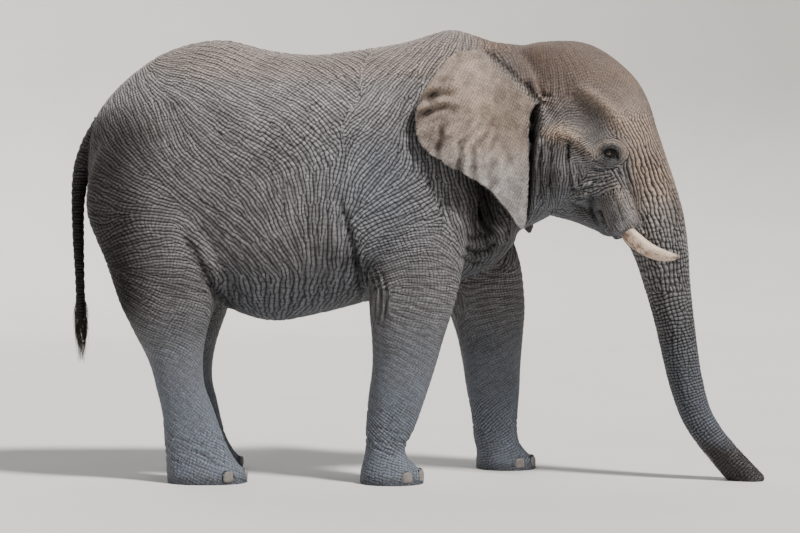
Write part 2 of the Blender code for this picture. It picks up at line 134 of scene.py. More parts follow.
FRONT_RIGHT_LINE = [(-0.04, -0.150), (0.07, -0.160), (0.22, -0.203), (0.40, -0.160), (0.58, -0.122),
                    (0.85, -0.062), (1.10, -0.033), (1.60, 0.03), (2.20, 0.12), (2.80, 0.20)]
FRONT_LEFT_LINE = [(-0.04, 0.700), (0.07, 0.690), (0.22, 0.622), (0.40, 0.612), (0.58, 0.602),
                   (0.85, 0.587), (1.10, 0.566), (1.60, 0.465), (2.20, 0.26), (2.80, 0.20)]
LEFT_WRIST = (0.25, 0.14, 0.07)
HIND_LEG = [
    (-0.04, -1.715, -1.145, 0.205, 0.00),
    (0.06, -1.725, -1.165, 0.200, 0.00),
    (0.14, -1.73, -1.235, 0.178, 0.00),
    (0.25, -1.74, -1.300, 0.160, 0.00),
    (0.38, -1.75, -1.350, 0.152, 0.00),
    (0.52, -1.765, -1.400, 0.150, 0.00),
    (0.68, -1.80, -1.460, 0.158, 0.00),
    (0.86, -1.86, -1.470, 0.178, 0.00),
    (1.05, -1.955, -1.440, 0.210, 0.01),
    (1.25, -2.045, -1.375, 0.240, 0.02),
    (1.55, -2.155, -1.230, 0.265, 0.02),
    (1.90, -2.290, -1.200, 0.255, 0.00),
    (2.25, -2.250, -1.340, 0.200, -0.06),
    (2.60, -2.100, -1.540, 0.110, -0.13),
]
HIND_LEFT_STEP = -0.115
STEP_TOP = 1.2  # height above which the left hind leg is as far ahead as the right one
TAIL = [
    (-2.24, 2.54, 0.085),
    (-2.335, 2.38, 0.080),
    (-2.405, 2.20, 0.066),
    (-2.432, 1.98, 0.050),
    (-2.430, 1.70, 0.043),
    (-2.418, 1.42, 0.036),
    (-2.410, 1.16, 0.034),
    (-2.408, 1.12, 0.020),
]
JAW = [
    (0.90, 2.03, 0.13, 0.20),
    (1.06, 1.995, 0.14, 0.21),
    (1.20, 1.94, 0.125, 0.19),
    (1.33, 1.865, 0.105, 0.14),
    (1.42, 1.79, 0.075, 0.09),
    (1.455, 1.75, 0.035, 0.045),
]
SHEATH = [
    (1.45, 0.14, 2.34, 0.17),
    (1.465, 0.20, 2.14, 0.165),
    (1.485, 0.255, 1.95, 0.138),
    (1.505, 0.285, 1.81, 0.110),
    (1.525, 0.300, 1.730, 0.080),
]
TUSK = [
    (1.495, 0.288, 1.830, 0.044),
    (1.545, 0.305, 1.735, 0.050),
    (1.610, 0.328, 1.665, 0.054),
    (1.685, 0.352, 1.612, 0.050),
    (1.765, 0.374, 1.578, 0.042),
    (1.835, 0.392, 1.564, 0.030),
    (1.890, 0.404, 1.568, 0.012),
]
EAR_OUTLINE = [
    (0.72, 3.03), (0.52, 3.01), (0.36, 2.965), (0.26, 2.84), (0.15, 2.64), (0.115, 2.48), (0.16, 2.31),
    (0.34, 2.17), (0.55, 2.05), (0.70, 1.885), (0.79, 1.765), (0.835, 1.77), (0.855, 1.90), (0.868, 2.15),
    (0.866, 2.38), (0.872, 2.52), (0.905, 2.61), (0.965, 2.67), (0.905, 2.81), (0.82, 2.955),
]
EAR_CENTRE = (0.60, 2.46)
EAR_ROOT_Y, EAR_BACK_Y = 0.36, 0.735
EAR_ROOT_X = 1.00
EYE_RADIUS = 0.027
EYE_PLACE = (1.412, 0.366, 2.280)
NAIL_WIDTH, NAIL_HEIGHT = 0.042, 0.040  # half sizes
NAIL_ANGLES = {
    ("front", "left"): (-64, -23, 20, 60), ("front", "right"): (-64, -23, 20, 60),
    ("hind", "left"): (-48, -2, 44), ("hind", "right"): (-48, -2, 44),
}


# ---- curves and lofts ----
def between(rows, i, t):
    """The row a share t of the way from rows[i] to the next, on a Catmull-Rom curve through all rows."""
    last = len(rows) - 1
    a, b, c, d = (rows[min(max(k, 0), last)] for k in (i - 1, i, i + 1, i + 2))
    return tuple(
        0.5 * (2 * q + (r - p) * t + (2 * p - 5 * q + 4 * r - s) * t**2 + (3 * (q - r) + s - p) * t**3)
        for p, q, r, s in zip(a, b, c, d)
    )


def smooth_rows(rows, steps=RINGS_PER_SECTION):
    made = [between(rows, i, k / steps) for i in range(len(rows) - 1) for k in range(steps)]
    return made + [tuple(rows[-1])]


def line_at(line, z):
    """A line's second measure where its first is z."""
    rows = np.array(smooth_rows(line))
    return np.interp(z, rows[:, 0], rows[:, 1])


def eased(share):
    share = np.clip(share, 0.0, 1.0)
    return share * share * (3 - 2 * share)


def turn_at(x):
    """The angle by which the bent neck turns what lies at x on the straight animal."""
    return -HEAD_TURN * eased((x - TURN_START) / (TURN_END - TURN_START))


def rotated(point, angle):
    """A point turned about the upright line through the neck's pivot."""
    dx, dy = point[0] - TURN_PIVOT, point[1]
    c, s = math.cos(angle), math.sin(angle)
    return Vector((TURN_PIVOT + dx * c - dy * s, dx * s + dy * c, point[2]))


def turned(point):
    """Where a point of the straight animal goes as the neck bends and the head turns."""
    return rotated(point, turn_at(point[0]))


def turned_whole(point):
    """Where a point goes that follows the head's whole turn, as the ears do."""
    return rotated(point, -HEAD_TURN)


def oval(count, power=2.0):
    """Points round an oval, which is squarer the higher its power: cosine and sine."""
    t = np.arange(count) * math.tau / count
    c, s = np.cos(t), np.sin(t)
    return list(zip(np.sign(c) * abs(c) ** (2 / power), np.sign(s) * abs(s) ** (2 / power)))


def unit(vectors):
    """One vector, or each row of a table of them, made 1 long."""
    return vectors / (np.linalg.norm(vectors, axis=-1, keepdims=True) + 1e-9)


def loft(bm, rings, place=turned):
    """A closed tube through rings of points, with a face over each end."""
    loops = [[bm.verts.new(place(p)) for p in ring] for ring in rings]
    count = len(loops[0])
    faces = [bm.faces.new(loops[0]), bm.faces.new(loops[-1])]
    for low, high in zip(loops, loops[1:]):
        for k in range(count):
            n = (k + 1) % count
            faces.append(bm.faces.new((low[k], low[n], high[n], high[k])))
    bmesh.ops.recalc_face_normals(bm, faces=faces)


def upright_rings(rows):
    """Upright rings across the body, whose upper and lower halves have powers of their own."""
    rings = []
    ridged, full = oval(RING_POINTS, BACK_POWER), oval(RING_POINTS, BELLY_POWER)
    for x, top, bottom, middle, half_width in smooth_rows(rows):
        ring = []
        for k in range(RING_POINTS):
            up, side = ridged[k] if ridged[k][0] > 0 else full[k]
            height = (top - middle) if up > 0 else (middle - bottom)
            ring.append((x, side * half_width, middle + up * height))
        rings.append(ring)
    return rings


def level_rings(rows, power):
    """Level rings: z, back, front, x of the widest place, half width and, where the row has it, y."""
    rings = []
    for z, back, front, widest, half_width, *y in smooth_rows(rows):
        ring = []
        for ahead, side in oval(RING_POINTS, power):
            reach = (front - widest) if ahead > 0 else (widest - back)
            ring.append((widest + ahead * reach, (y[0] if y else 0.0) + side * half_width, z))
        rings.append(ring)
    return rings


def path_rings(points, halves, count=RING_POINTS):
    """Oval rings square to a path through points; halves has each ring's half depth and width."""
    rings = []
    side_way = Vector((0, 1, 0))
    for i, (point, (depth, width)) in enumerate(zip(points, halves)):
        ahead = points[min(i + 1, len(points) - 1)] - points[max(i - 1, 0)]
        across = side_way - ahead * (side_way @ ahead) / ahead.length_squared
        across.normalize()
        outward = across.cross(ahead).normalized()
        rings.append([point + outward * float(c * depth) + across * float(s * width) for c, s in oval(count)])
    return rings


def flat_path(rows):
    """Rings along a path in the middle plane: x, z, half depth, half width."""
    made = smooth_rows(rows)
    points = [Vector((x, 0.0, z)) for x, z, _, _ in made]
    return path_rings(points, [(depth, width) for _, _, depth, width in made])


def round_path(rows, side, count=RING_POINTS, steps=RINGS_PER_SECTION):
    """Round rings along a path on one side: x, y, z, radius."""
    made = smooth_rows(rows, steps)
    points = [Vector((x, side * y, z)) for x, y, z, _ in made]
    return path_rings(points, [(r, r) for *_, r in made], count)


def front_leg_rings(line, side, wrist=(0.0, 1.0, 0.0)):
    """Rings of a foreleg along its line, the deeper the nearer to the wrist: z, reach, extra depth."""
    rows = []
    for z, depth, half_width, offset in FRONT_LEG:
        x = float(line_at(line, z))
        depth += wrist[2] * eased(1 - abs(z - wrist[0]) / wrist[1])
        rows.append((z, x - depth / 2, x + depth / 2, x, half_width, side * (FRONT_STANCE + offset)))
    return level_rings(rows, LEG_POWER)


def hind_leg_rings(side, step):
    """Rings of a hind leg whose foot is a step ahead of the other one's."""
    rows = []
    for z, back, front, half_width, offset in HIND_LEG:
        shift = step * (1 - eased(z / STEP_TOP))
        rows.append((z, back + shift, front + shift, (back + front) / 2 + shift, half_width,
                     side * (HIND_STANCE + offset)))
    return level_rings(rows, LEG_POWER)


def new_object(name, mesh):
    obj = bpy.data.objects.new(name, mesh)
    bpy.context.scene.collection.objects.link(obj)
    return obj


def apply_modifiers(obj):
    """Puts the mesh its modifiers make in the object's own mesh's place."""
    bpy.context.view_layer.update()
    mesh = bpy.data.meshes.new_from_object(obj.evaluated_get(bpy.context.evaluated_depsgraph_get()))
    obj.modifiers.clear()
    old = obj.data
    obj.data = mesh
    bpy.data.meshes.remove(old)


def remeshed(obj, voxel, smoothing):
    """Makes whatever overlaps in the object one even mesh, smoothed a few rounds."""
    fuse = obj.modifiers.new("fuse", "REMESH")
    fuse.mode = "VOXEL"
    fuse.voxel_size = voxel
    soften = obj.modifiers.new("soften", "SMOOTH")
    soften.factor = 0.5
    soften.iterations = smoothing
    apply_modifiers(obj)


def fused_body():
    """The body without its ears, tail and jaw, as one smooth mesh."""
    bm = bmesh.new()
    for rings in (upright_rings(TORSO), upright_rings(NECK), level_rings(SKULL, SKULL_POWER),
                  flat_path(TRUNK)):
        loft(bm, rings)
    for rings in (front_leg_rings(FRONT_RIGHT_LINE, -1), front_leg_rings(FRONT_LEFT_LINE, 1, LEFT_WRIST),
                  hind_leg_rings(-1, 0.0), hind_leg_rings(1, HIND_LEFT_STEP)):
        loft(bm, rings, Vector)
    for _, side in SIDES:
        loft(bm, round_path(SHEATH, side))
    mesh = bpy.data.meshes.new("skin")
    bm.to_mesh(mesh)
    bm.free()
    obj = new_object("skin", mesh)
    remeshed(obj, FUSE_VOXEL, FUSE_SMOOTHING)
    sub = obj.modifiers.new("sub", "SUBSURF")
    sub.levels = sub.render_levels = 1
    apply_modifiers(obj)
    return obj


def stroke_distance(u, z, points):
    """The squared distance from a line of points."""
    return stroke(u, z, points)[0]


def stroke(u, z, points):
    """The squared distance from a line of points, and the share of the way along it."""
    best = np.full(u.shape, 1e9)
    along = np.zeros(u.shape)
    lengths = [math.dist(p, q) for p, q in zip(points, points[1:])]
    done = 0.0
    for (a, b), (c, d), length in zip(points, points[1:], lengths):
        du, dz = c - a, d - b
        t = np.clip(((u - a) * du + (z - b) * dz) / (du * du + dz * dz), 0, 1)
        far = (u - a - t * du) ** 2 + (z - b - t * dz) ** 2
        along = np.where(far < best, (done + t * length) / sum(lengths), along)
        best = np.minimum(best, far)
        done += length
    return best, along


# ---- ears ----
def ear_depth(x, z):
    """How far the plain curve of the ear's sheet stands out from the head's middle."""
    back = eased((EAR_ROOT_X - x) / 0.62)
    y = EAR_ROOT_Y + (EAR_BACK_Y - EAR_ROOT_Y) * back
    hang = eased((2.35 - z) / 0.6)
    top = eased((z - 2.70) / 0.32)
    return y - 0.07 * hang - 0.17 * top * back


# valleys of the ear's folds: points x, z; half width; depth in mm
EAR_VALLEYS = [
    ([(0.40, 2.08), (0.426, 2.32), (0.557, 2.466)], 0.026, 24),
    ([(0.50, 2.04), (0.504, 2.295), (0.608, 2.432)], 0.026, 21),
    ([(0.255, 2.22), (0.297, 2.43), (0.366, 2.50)], 0.022, 19),
    ([(0.60, 1.97), (0.62, 2.18), (0.68, 2.30)], 0.030, 9),
    ([(0.10, 2.60), (0.245, 2.655), (0.454, 2.672)], 0.028, 17),
    ([(0.10, 2.46), (0.20, 2.54), (0.32, 2.575), (0.463, 2.545)], 0.026, 15),
]
# rolls along the ear's upper back margin: depth in from the rim, half width, height in metres
EAR_ROLLS = [(0.030, 0.020, 0.012), (0.078, 0.022, -0.009), (0.128, 0.024, 0.006), (0.178, 0.024, -0.004)]
# small tears in the rim: place as a share of the way round, half width, depth
EAR_TEARS = [(0.372, 0.006, 0.045), (0.418, 0.008, 0.060), (0.455, 0.005, 0.035), (0.50, 0.006, 0.028),
             (0.335, 0.004, 0.03)]
EAR_FAN = (0.92, 2.95)  # where the ear's soft folds fan out from
EAR_RIM = smooth_rows(EAR_OUTLINE + EAR_OUTLINE[:1], 16)
EAR_SPOKES, EAR_RINGS = 300, 56


def ear_folds(x, z, inside):
    """How far the ear's sheet swells out of its plain curve: broad soft folds that fan from its root to its
    lower back edge, and rolls along its upper back margin. inside is the depth from the rim."""
    angle = np.arctan2(z - EAR_FAN[1], x - EAR_FAN[0])
    reach = np.hypot(x - EAR_FAN[0], z - EAR_FAN[1])
    fan = eased((reach - 0.38) / 0.32) * eased((2.66 - z) / 0.20) * eased((0.82 - x) / 0.22)
    out = 0.005 * fan * np.sin(angle * 25.0 + 1.6 * np.sin(reach * 7.0) + 0.6)
    out = out + 0.005 * fan * np.sin(angle * 63.0 + 2.0 + 3 * np.sin(reach * 7))
    for line, wide, mm in EAR_VALLEYS:
        far, along = stroke(x, z, line)
        far = np.sqrt(far)
        taper = eased((1 - along) / 0.45)
        out = out - 0.001 * mm * taper * np.exp(-((far / wide) ** 2))
        out = out + 0.00045 * mm * taper * np.exp(-(((far - 1.9 * wide) / (1.1 * wide)) ** 2))
    upper = eased((z - 2.46) / 0.14) * eased((0.66 - x) / 0.28)
    for depth, wide, height in EAR_ROLLS:
        out = out + height * upper * np.exp(-(((inside - depth) / wide) ** 2))
    dish = np.exp(-(((x - 0.72) / 0.14) ** 2) - ((z - 2.45) / 0.26) ** 2)
    return out - 0.020 * dish


def polygon_depth(x, z, ring):
    """Signed distance from a closed outline: more than 0 inside."""
    ring = np.asarray(ring, float)[:-1]
    best = np.full(x.shape, 1e9)
    inside = np.zeros(x.shape, bool)
    for (x1, z1), (x2, z2) in zip(ring, np.roll(ring, -1, axis=0)):
        dx, dz = x2 - x1, z2 - z1
        t = np.clip(((x - x1) * dx + (z - z1) * dz) / (dx * dx + dz * dz + 1e-12), 0, 1)
        best = np.minimum(best, (x - x1 - t * dx) ** 2 + (z - z1 - t * dz) ** 2)
        if z1 != z2:
            hit = ((z1 > z) != (z2 > z)) & (x < (x2 - x1) * (z - z1) / (z2 - z1) + x1)
            inside ^= hit
    return np.where(inside, 1, -1) * np.sqrt(best)


def ear_notch(around):
    """How far in from the rim its tears reach, by the share of the way round."""
    out = np.zeros_like(around)
    for place, width, depth in EAR_TEARS:
        out += depth * np.exp(-(((around - place) / width) ** 2))
    return out + 0.006 * np.sin(around * 260) * np.sin(around * 97 + 1)


def ear_mesh(bm, side):
    """One ear: two sheets of spokes and rings round its centre, joined along the rim."""
    spokes, rings = EAR_SPOKES, EAR_RINGS
    fine = np.asarray(smooth_rows(EAR_OUTLINE + EAR_OUTLINE[:1], 60))
    length = np.concatenate([[0], np.cumsum(np.hypot(*np.diff(fine, axis=0).T))])
    even = np.arange(spokes) * length[-1] / spokes
    rim = np.stack([np.interp(even, length, fine[:, i]) for i in (0, 1)], 1)
    shrink = 1.0 - ear_notch(np.arange(spokes) / spokes)
    centre = np.asarray(EAR_CENTRE)
    share = np.sin(np.pi / 2 * np.arange(rings + 1) / rings)[:, None, None]
    xz = centre + (rim[None] - centre) * (share * (1 + (shrink[None, :, None] - 1) * share**6))
    x, z = xz[..., 0], xz[..., 1]
    inside = polygon_depth(x, z, EAR_RIM)
    root = eased(1 - np.hypot(x - (EAR_ROOT_X - 0.1), z - 2.78) / 0.7)
    half = (0.015 + 0.021 * root) / 2
    edge = np.clip(inside / 0.012, 0.0, 1)
    half = half * np.sqrt(np.clip(1 - (1 - edge) ** 2, 0.05, 1))
    y = ear_depth(x, z) + ear_folds(x, z, np.maximum(inside, 0))
    rims, faces = [], []
    for face_side in (-1, 1):
        yy = side * (y + face_side * half)
        centre_vert = bm.verts.new(turned_whole((x[0, 0], yy[0, 0], z[0, 0])))
        loops = [[bm.verts.new(turned_whole(p)) for p in zip(x[r], yy[r], z[r])] for r in range(1, rings + 1)]
        rims.append(loops[-1])
        for k in range(spokes):
            n = (k + 1) % spokes
            faces.append(bm.faces.new((centre_vert, loops[0][k], loops[0][n])))
            for low, high in zip(loops, loops[1:]):
                faces.append(bm.faces.new((low[k], high[k], high[n], low[n])))
    inner, outer = rims
    for k in range(spokes):
        n = (k + 1) % spokes
        faces.append(bm.faces.new((inner[k], inner[n], outer[n], outer[k])))
    bmesh.ops.recalc_face_normals(bm, faces=faces)


EAR_TOP = [(0.46, 2.975), (0.56, 3.00), (0.68, 3.015), (0.78, 2.98), (0.855, 2.885), (0.915, 2.775),
           (0.95, 2.70)]
WEB_STEPS = 5


def ear_web(bm, side):
    """The fold of skin that joins the ear's upper edge to the neck."""
    rings = []
    for i, (x, z) in enumerate(smooth_rows(EAR_TOP, WEB_STEPS)):
        share = i / (WEB_STEPS * (len(EAR_TOP) - 1))
        y = float(ear_depth(np.array(x), np.array(z))) - 0.006
        reach = (y - 0.12) * float(eased(share / 0.35 + 0.12))
        inner = (x + 0.01, side * (y - reach), z + 0.020 * float(eased(share / 0.4)))
        outer = (x, side * y, z - 0.012)
        under_in = (inner[0], inner[1], inner[2] - 0.09)
        under_out = (x, side * (y - 0.004), z - 0.045)
        rings.append((inner, outer, under_out, under_in))
    loft(bm, rings, turned_whole)


# ---- the skin's places as its right side shows them ----
def untwisted(points):
    """Straight-animal x and y of points on the bent one."""
    x = points[:, 0]
    dx, dy = points[:, 0] - TURN_PIVOT, points[:, 1]
    for _ in range(7):
        c, s = np.cos(turn_at(x)), np.sin(turn_at(x))
        x, y = TURN_PIVOT + dx * c + dy * s, dy * c - dx * s
    return x, y


def side_places(points):
    """u, how far forward a point lies in the view of its side that the right side gives; v, its distance
    from the animal's middle; and the side, -1 right or 1 left."""
    x, y = untwisted(points)
    side = np.where(y < 0, -1.0, 1.0)
    angle = turn_at(x)
    u = TURN_PIVOT + (x - TURN_PIVOT) * np.cos(angle) + abs(y) * np.sin(angle)
    z = points[:, 2]
    near_line = line_at(FRONT_RIGHT_LINE, z)
    far_line = line_at(FRONT_LEFT_LINE, z)
    in_leg = (side > 0) * eased((0.55 - abs(x - far_line)) / 0.2) * eased((1.75 - z) / 0.35)
    u = u + (near_line - far_line) * in_leg
    in_thigh = (side > 0) * eased((-0.9 - x) / 0.1)
    u = u - HIND_LEFT_STEP * (1 - eased(z / STEP_TOP)) * in_thigh
    return u, abs(y), side


def ear_places(points):
    """Where points lie on the unturned head: x, z, and y."""
    c, s = math.cos(HEAD_TURN), math.sin(HEAD_TURN)
    dx, dy = points[:, 0] - TURN_PIVOT, points[:, 1]
    return TURN_PIVOT + dx * c - dy * s, points[:, 2], dy * c + dx * s


def ear_share(points):
    """1 on the ears' sheets and 0 on the body, and the depth of each point in from the ear's rim."""
    x, z, y = ear_places(points)
    share = np.zeros(len(points))
    depth = np.full(len(points), -1.0)
    near = (x > 0.02) & (x < 1.1) & (z > 1.7) & (abs(y) > 0.22)
    inside = polygon_depth(x[near], z[near], EAR_RIM)
    gap = abs(abs(y[near]) - ear_depth(x[near], z[near]))
    share[near] = eased((inside + 0.012) / 0.03) * eased((0.060 - gap) / 0.018)
    past = (x[near] - 0.56) * 0.69 + (z[near] - 2.985) * 0.72
    share[near] *= 1 - eased(past / 0.07 + 0.5)
    depth[near] = inside
    return share, depth


class Places:
    """Where the skin's points lie: u, v and side as side_places gives them; ear, 1 on the ears' sheets and 0
    on the body; ear_in, the depth in from the ear's rim; z, the height; and up, how far the skin faces up."""

    def __init__(self, points):
        self.u, self.v, self.side = side_places(points)
        self.ear, self.ear_in = ear_share(points)

    def see(self, points, normals):
        self.points, self.normals = points, normals
        self.z, self.up = points[:, 2], normals[:, 2]

    def zone(self, *limits):
        """The product of one smooth rise for each limit: measure, where it is 0 and where it reaches 1."""
        share = 1.0
        for measure, start, end in limits:
            share = share * eased((getattr(self, measure) - start) / (end - start))
        return share

    def spot(self, u, z, long, wide, angle=0.0):
        """A soft oval, 1 in its middle, whose half length points along an angle in degrees."""
        c, s = math.cos(math.radians(angle)), math.sin(math.radians(angle))
        du, dz = self.u - u, self.z - z
        return np.exp(-(((du * c + dz * s) / long) ** 2) - ((dz * c - du * s) / wide) ** 2)


# ---- relief: the forms between the solids' plain shape and the wrinkles ----
# u, z, half length, half width, direction in degrees, height in mm
SWELLS = [
    (1.185, 2.535, 0.165, 0.105, -50, -40),
    (1.36, 2.81, 0.10, 0.075, -50, -15),
    (1.00, 2.42, 0.09, 0.06, 10, 12),
    (1.06, 2.53, 0.08, 0.05, 20, -8),
    (1.365, 2.345, 0.075, 0.045, 12, 14),
    (1.00, 2.13, 0.19, 0.11, 85, 24),
    (1.235, 2.09, 0.08, 0.05, 20, -12),
    (1.28, 2.43, 0.07, 0.035, 20, -8),
    (0.96, 1.90, 0.10, 0.06, 0, -10),
    (1.40, 2.70, 0.16, 0.10, 120, 6),
    (1.47, 2.12, 0.12, 0.05, -70, -14),
    (1.40, 1.735, 0.07, 0.05, -20, 22),
    (0.92, 2.62, 0.11, 0.035, -65, -22),
    (-1.62, 2.66, 0.10, 0.07, -30, 22),
    (-1.42, 2.55, 0.16, 0.10, -40, -20),
    (-1.98, 2.25, 0.16, 0.12, 70, 10),
    (-2.10, 2.45, 0.14, 0.05, 60, -10),
    (-0.04, 2.55, 0.34, 0.07, 82, 20),
    (-0.30, 2.50, 0.28, 0.10, 75, -18),
    (0.10, 2.20, 0.10, 0.08, 0, 12),
    (0.02, 1.85, 0.25, 0.14, 80, 12),
    (-0.32, 1.62, 0.20, 0.07, 80, 8),
    (-0.62, 1.75, 0.35, 0.12, 85, -12),
    (-1.10, 1.45, 0.30, 0.10, -20, 10),
    (-1.62, 1.45, 0.30, 0.10, 85, 8),
    (-1.98, 1.45, 0.30, 0.07, 80, 10),
    (-1.47, 1.17, 0.10, 0.08, 90, 14),
    (-0.02, 0.62, 0.12, 0.08, 90, 6),
    (-1.77, 0.66, 0.10, 0.05, 90, 8),
    (0.42, 2.30, 0.25, 0.10, 60, -14),
    (0.50, 1.90, 0.20, 0.060, 80, -55),
    (0.60, 1.87, 0.20, 0.110, 84, -30),
    (0.36, 1.95, 0.20, 0.06, 75, 14),
]
# points u, z; half width, height in mm
STROKES = [
    ([(1.09, 2.775), (1.17, 2.73), (1.27, 2.66), (1.35, 2.58), (1.43, 2.49), (1.49, 2.41)], 0.052, 26),
    ([(0.93, 2.41), (1.06, 2.41), (1.13, 2.365), (1.19, 2.31), (1.27, 2.21)], 0.042, 26),
    ([(1.078, 2.40), (1.066, 2.30), (1.060, 2.20)], 0.009, -14),
    ([(1.035, 2.38), (1.026, 2.22), (1.02, 2.05)], 0.014, 6),
    ([(1.098, 2.34), (1.085, 2.2), (1.08, 2.05)], 0.013, 5),
    ([(1.21, 2.17), (1.28, 2.155), (1.36, 2.165), (1.42, 2.20)], 0.012, -9),
    ([(1.19, 2.13), (1.27, 2.115), (1.36, 2.12), (1.43, 2.16)], 0.014, 7),
    ([(0.885, 2.36), (0.872, 2.20), (0.880, 2.04), (0.915, 1.92)], 0.012, -13),
    ([(0.955, 2.36), (0.945, 2.20), (0.950, 2.06), (0.985, 1.93)], 0.011, -11),
    ([(1.078, 2.20), (1.082, 2.08), (1.115, 1.99)], 0.011, -13),
    ([(1.135, 2.20), (1.132, 2.10), (1.155, 2.04)], 0.010, -9),
    ([(1.075, 1.955), (1.13, 1.925), (1.20, 1.905), (1.245, 1.87)], 0.010, -10),
    ([(1.09, 2.035), (1.145, 2.015), (1.20, 2.045), (1.255, 2.035)], 0.009, -11),
    ([(1.345, 2.03), (1.395, 1.93), (1.43, 1.82), (1.45, 1.75)], 0.010, -6),
    ([(1.41, 2.04), (1.47, 1.93), (1.53, 1.82)], 0.010, -6),
    ([(1.16, 2.045), (1.22, 2.075), (1.28, 2.055), (1.33, 2.085)], 0.013, 11),
    ([(1.20, 2.025), (1.255, 2.035), (1.30, 2.010), (1.36, 2.05)], 0.012, 10),
    ([(1.12, 1.995), (1.17, 2.01), (1.22, 1.995)], 0.013, 12),
    ([(1.11, 1.97), (1.16, 1.975), (1.215, 1.965)], 0.008, -8),
    ([(1.12, 1.945), (1.17, 1.955), (1.225, 1.94)], 0.010, 8),
    ([(1.225, 2.02), (1.235, 1.96), (1.265, 1.87), (1.325, 1.765)], 0.021, -17),
    ([(1.27, 1.99), (1.30, 1.88), (1.35, 1.76)], 0.026, 14),
    ([(1.05, 1.90), (1.15, 1.87), (1.25, 1.80), (1.30, 1.76)], 0.018, 8),
    ([(1.46, 2.28), (1.50, 2.05), (1.56, 1.88), (1.625, 1.745)], 0.022, -12),
    ([(1.36, 2.12), (1.42, 1.98), (1.50, 1.84), (1.58, 1.76)], 0.050, 10),
    ([(1.445, 1.700), (1.50, 1.740), (1.57, 1.752), (1.635, 1.715)], 0.014, 17),
    ([(0.46, 2.985), (0.55, 2.940), (0.65, 2.865), (0.73, 2.785), (0.80, 2.74)], 0.018, -12),
    ([(0.74, 2.815), (0.80, 2.76), (0.88, 2.69), (0.93, 2.655)], 0.016, 9),
    ([(0.60, 2.86), (0.68, 2.79), (0.74, 2.735)], 0.014, -10),
    ([(0.84, 2.735), (0.90, 2.70), (0.97, 2.69)], 0.010, -12),
    ([(0.84, 2.71), (0.89, 2.665), (0.94, 2.65)], 0.012, 10),
    ([(-1.60, 1.78), (-1.51, 1.62), (-1.43, 1.46), (-1.36, 1.30), (-1.30, 1.17), (-1.27, 1.05)], 0.030, -26),
    ([(-1.46, 1.70), (-1.38, 1.50), (-1.28, 1.30)], 0.045, 12),
    ([(-0.52, 2.00), (-0.46, 1.80), (-0.41, 1.60), (-0.375, 1.40), (-0.36, 1.20)], 0.022, -24),
    ([(-0.60, 1.95), (-0.54, 1.70), (-0.48, 1.45)], 0.030, 9),
    ([(-0.42, 1.30), (-0.36, 1.24), (-0.31, 1.16)], 0.010, -8),
    ([(-0.10, 2.86), (0.00, 2.80), (0.09, 2.82), (0.14, 2.90)], 0.020, -10),
    ([(0.48, 3.00), (0.56, 2.90), (0.62, 2.84)], 0.018, -10),
    ([(0.34, 1.64), (0.43, 1.58), (0.52, 1.60), (0.60, 1.68)], 0.018, -20),
    ([(0.30, 1.58), (0.42, 1.51), (0.52, 1.53)], 0.016, -14),
    ([(0.435, 2.05), (0.435, 1.90), (0.455, 1.77), (0.52, 1.69)], 0.018, 16),
    ([(0.50, 1.685), (0.60, 1.655), (0.70, 1.70)], 0.016, 14),
    ([(0.53, 2.05), (0.535, 1.90), (0.56, 1.78)], 0.013, 16),
    ([(0.61, 2.00), (0.605, 1.88), (0.63, 1.77)], 0.012, 14),
    ([(0.33, 1.72), (0.42, 1.68), (0.52, 1.70), (0.60, 1.76)], 0.020, -10),
    ([(-1.20, 1.19), (-1.22, 1.30), (-1.26, 1.42)], 0.012, -10),
    ([(-1.25, 1.19), (-1.28, 1.28), (-1.33, 1.38)], 0.010, -9),
]
# folds behind the elbow: place of each along u, height in mm
ELBOW_FOLDS = [(-0.330, -19), (-0.312, 7), (-0.294, -20), (-0.275, 8), (-0.255, -17), (-0.236, 7),
               (-0.216, -12)]
STROKES += [
    ([(u0 - 0.035, 1.52), (u0, 1.43), (u0 + 0.026, 1.33), (u0 + 0.020, 1.20), (u0 * 0.7 - 0.083, 1.05)],
     0.0115, mm)
    for u0, mm in ELBOW_FOLDS
]
# outline u, z of the hollow between the neck and the shoulder
POCKET = [(0.452, 2.15), (0.455, 1.83), (0.50, 1.735), (0.60, 1.70), (0.69, 1.745), (0.735, 1.95),
          (0.735, 2.15), (0.452, 2.15)]
POCKET_DEPTH, POCKET_SLOPE = 0.075, 0.055
RIB_SPACING, SPINE_SPACING = 0.15, 0.085
# height above the floor, depth in mm
ANKLE_FOLDS = [(0.155, 7), (0.205, 9), (0.262, 8), (0.325, 6), (0.40, 5)]


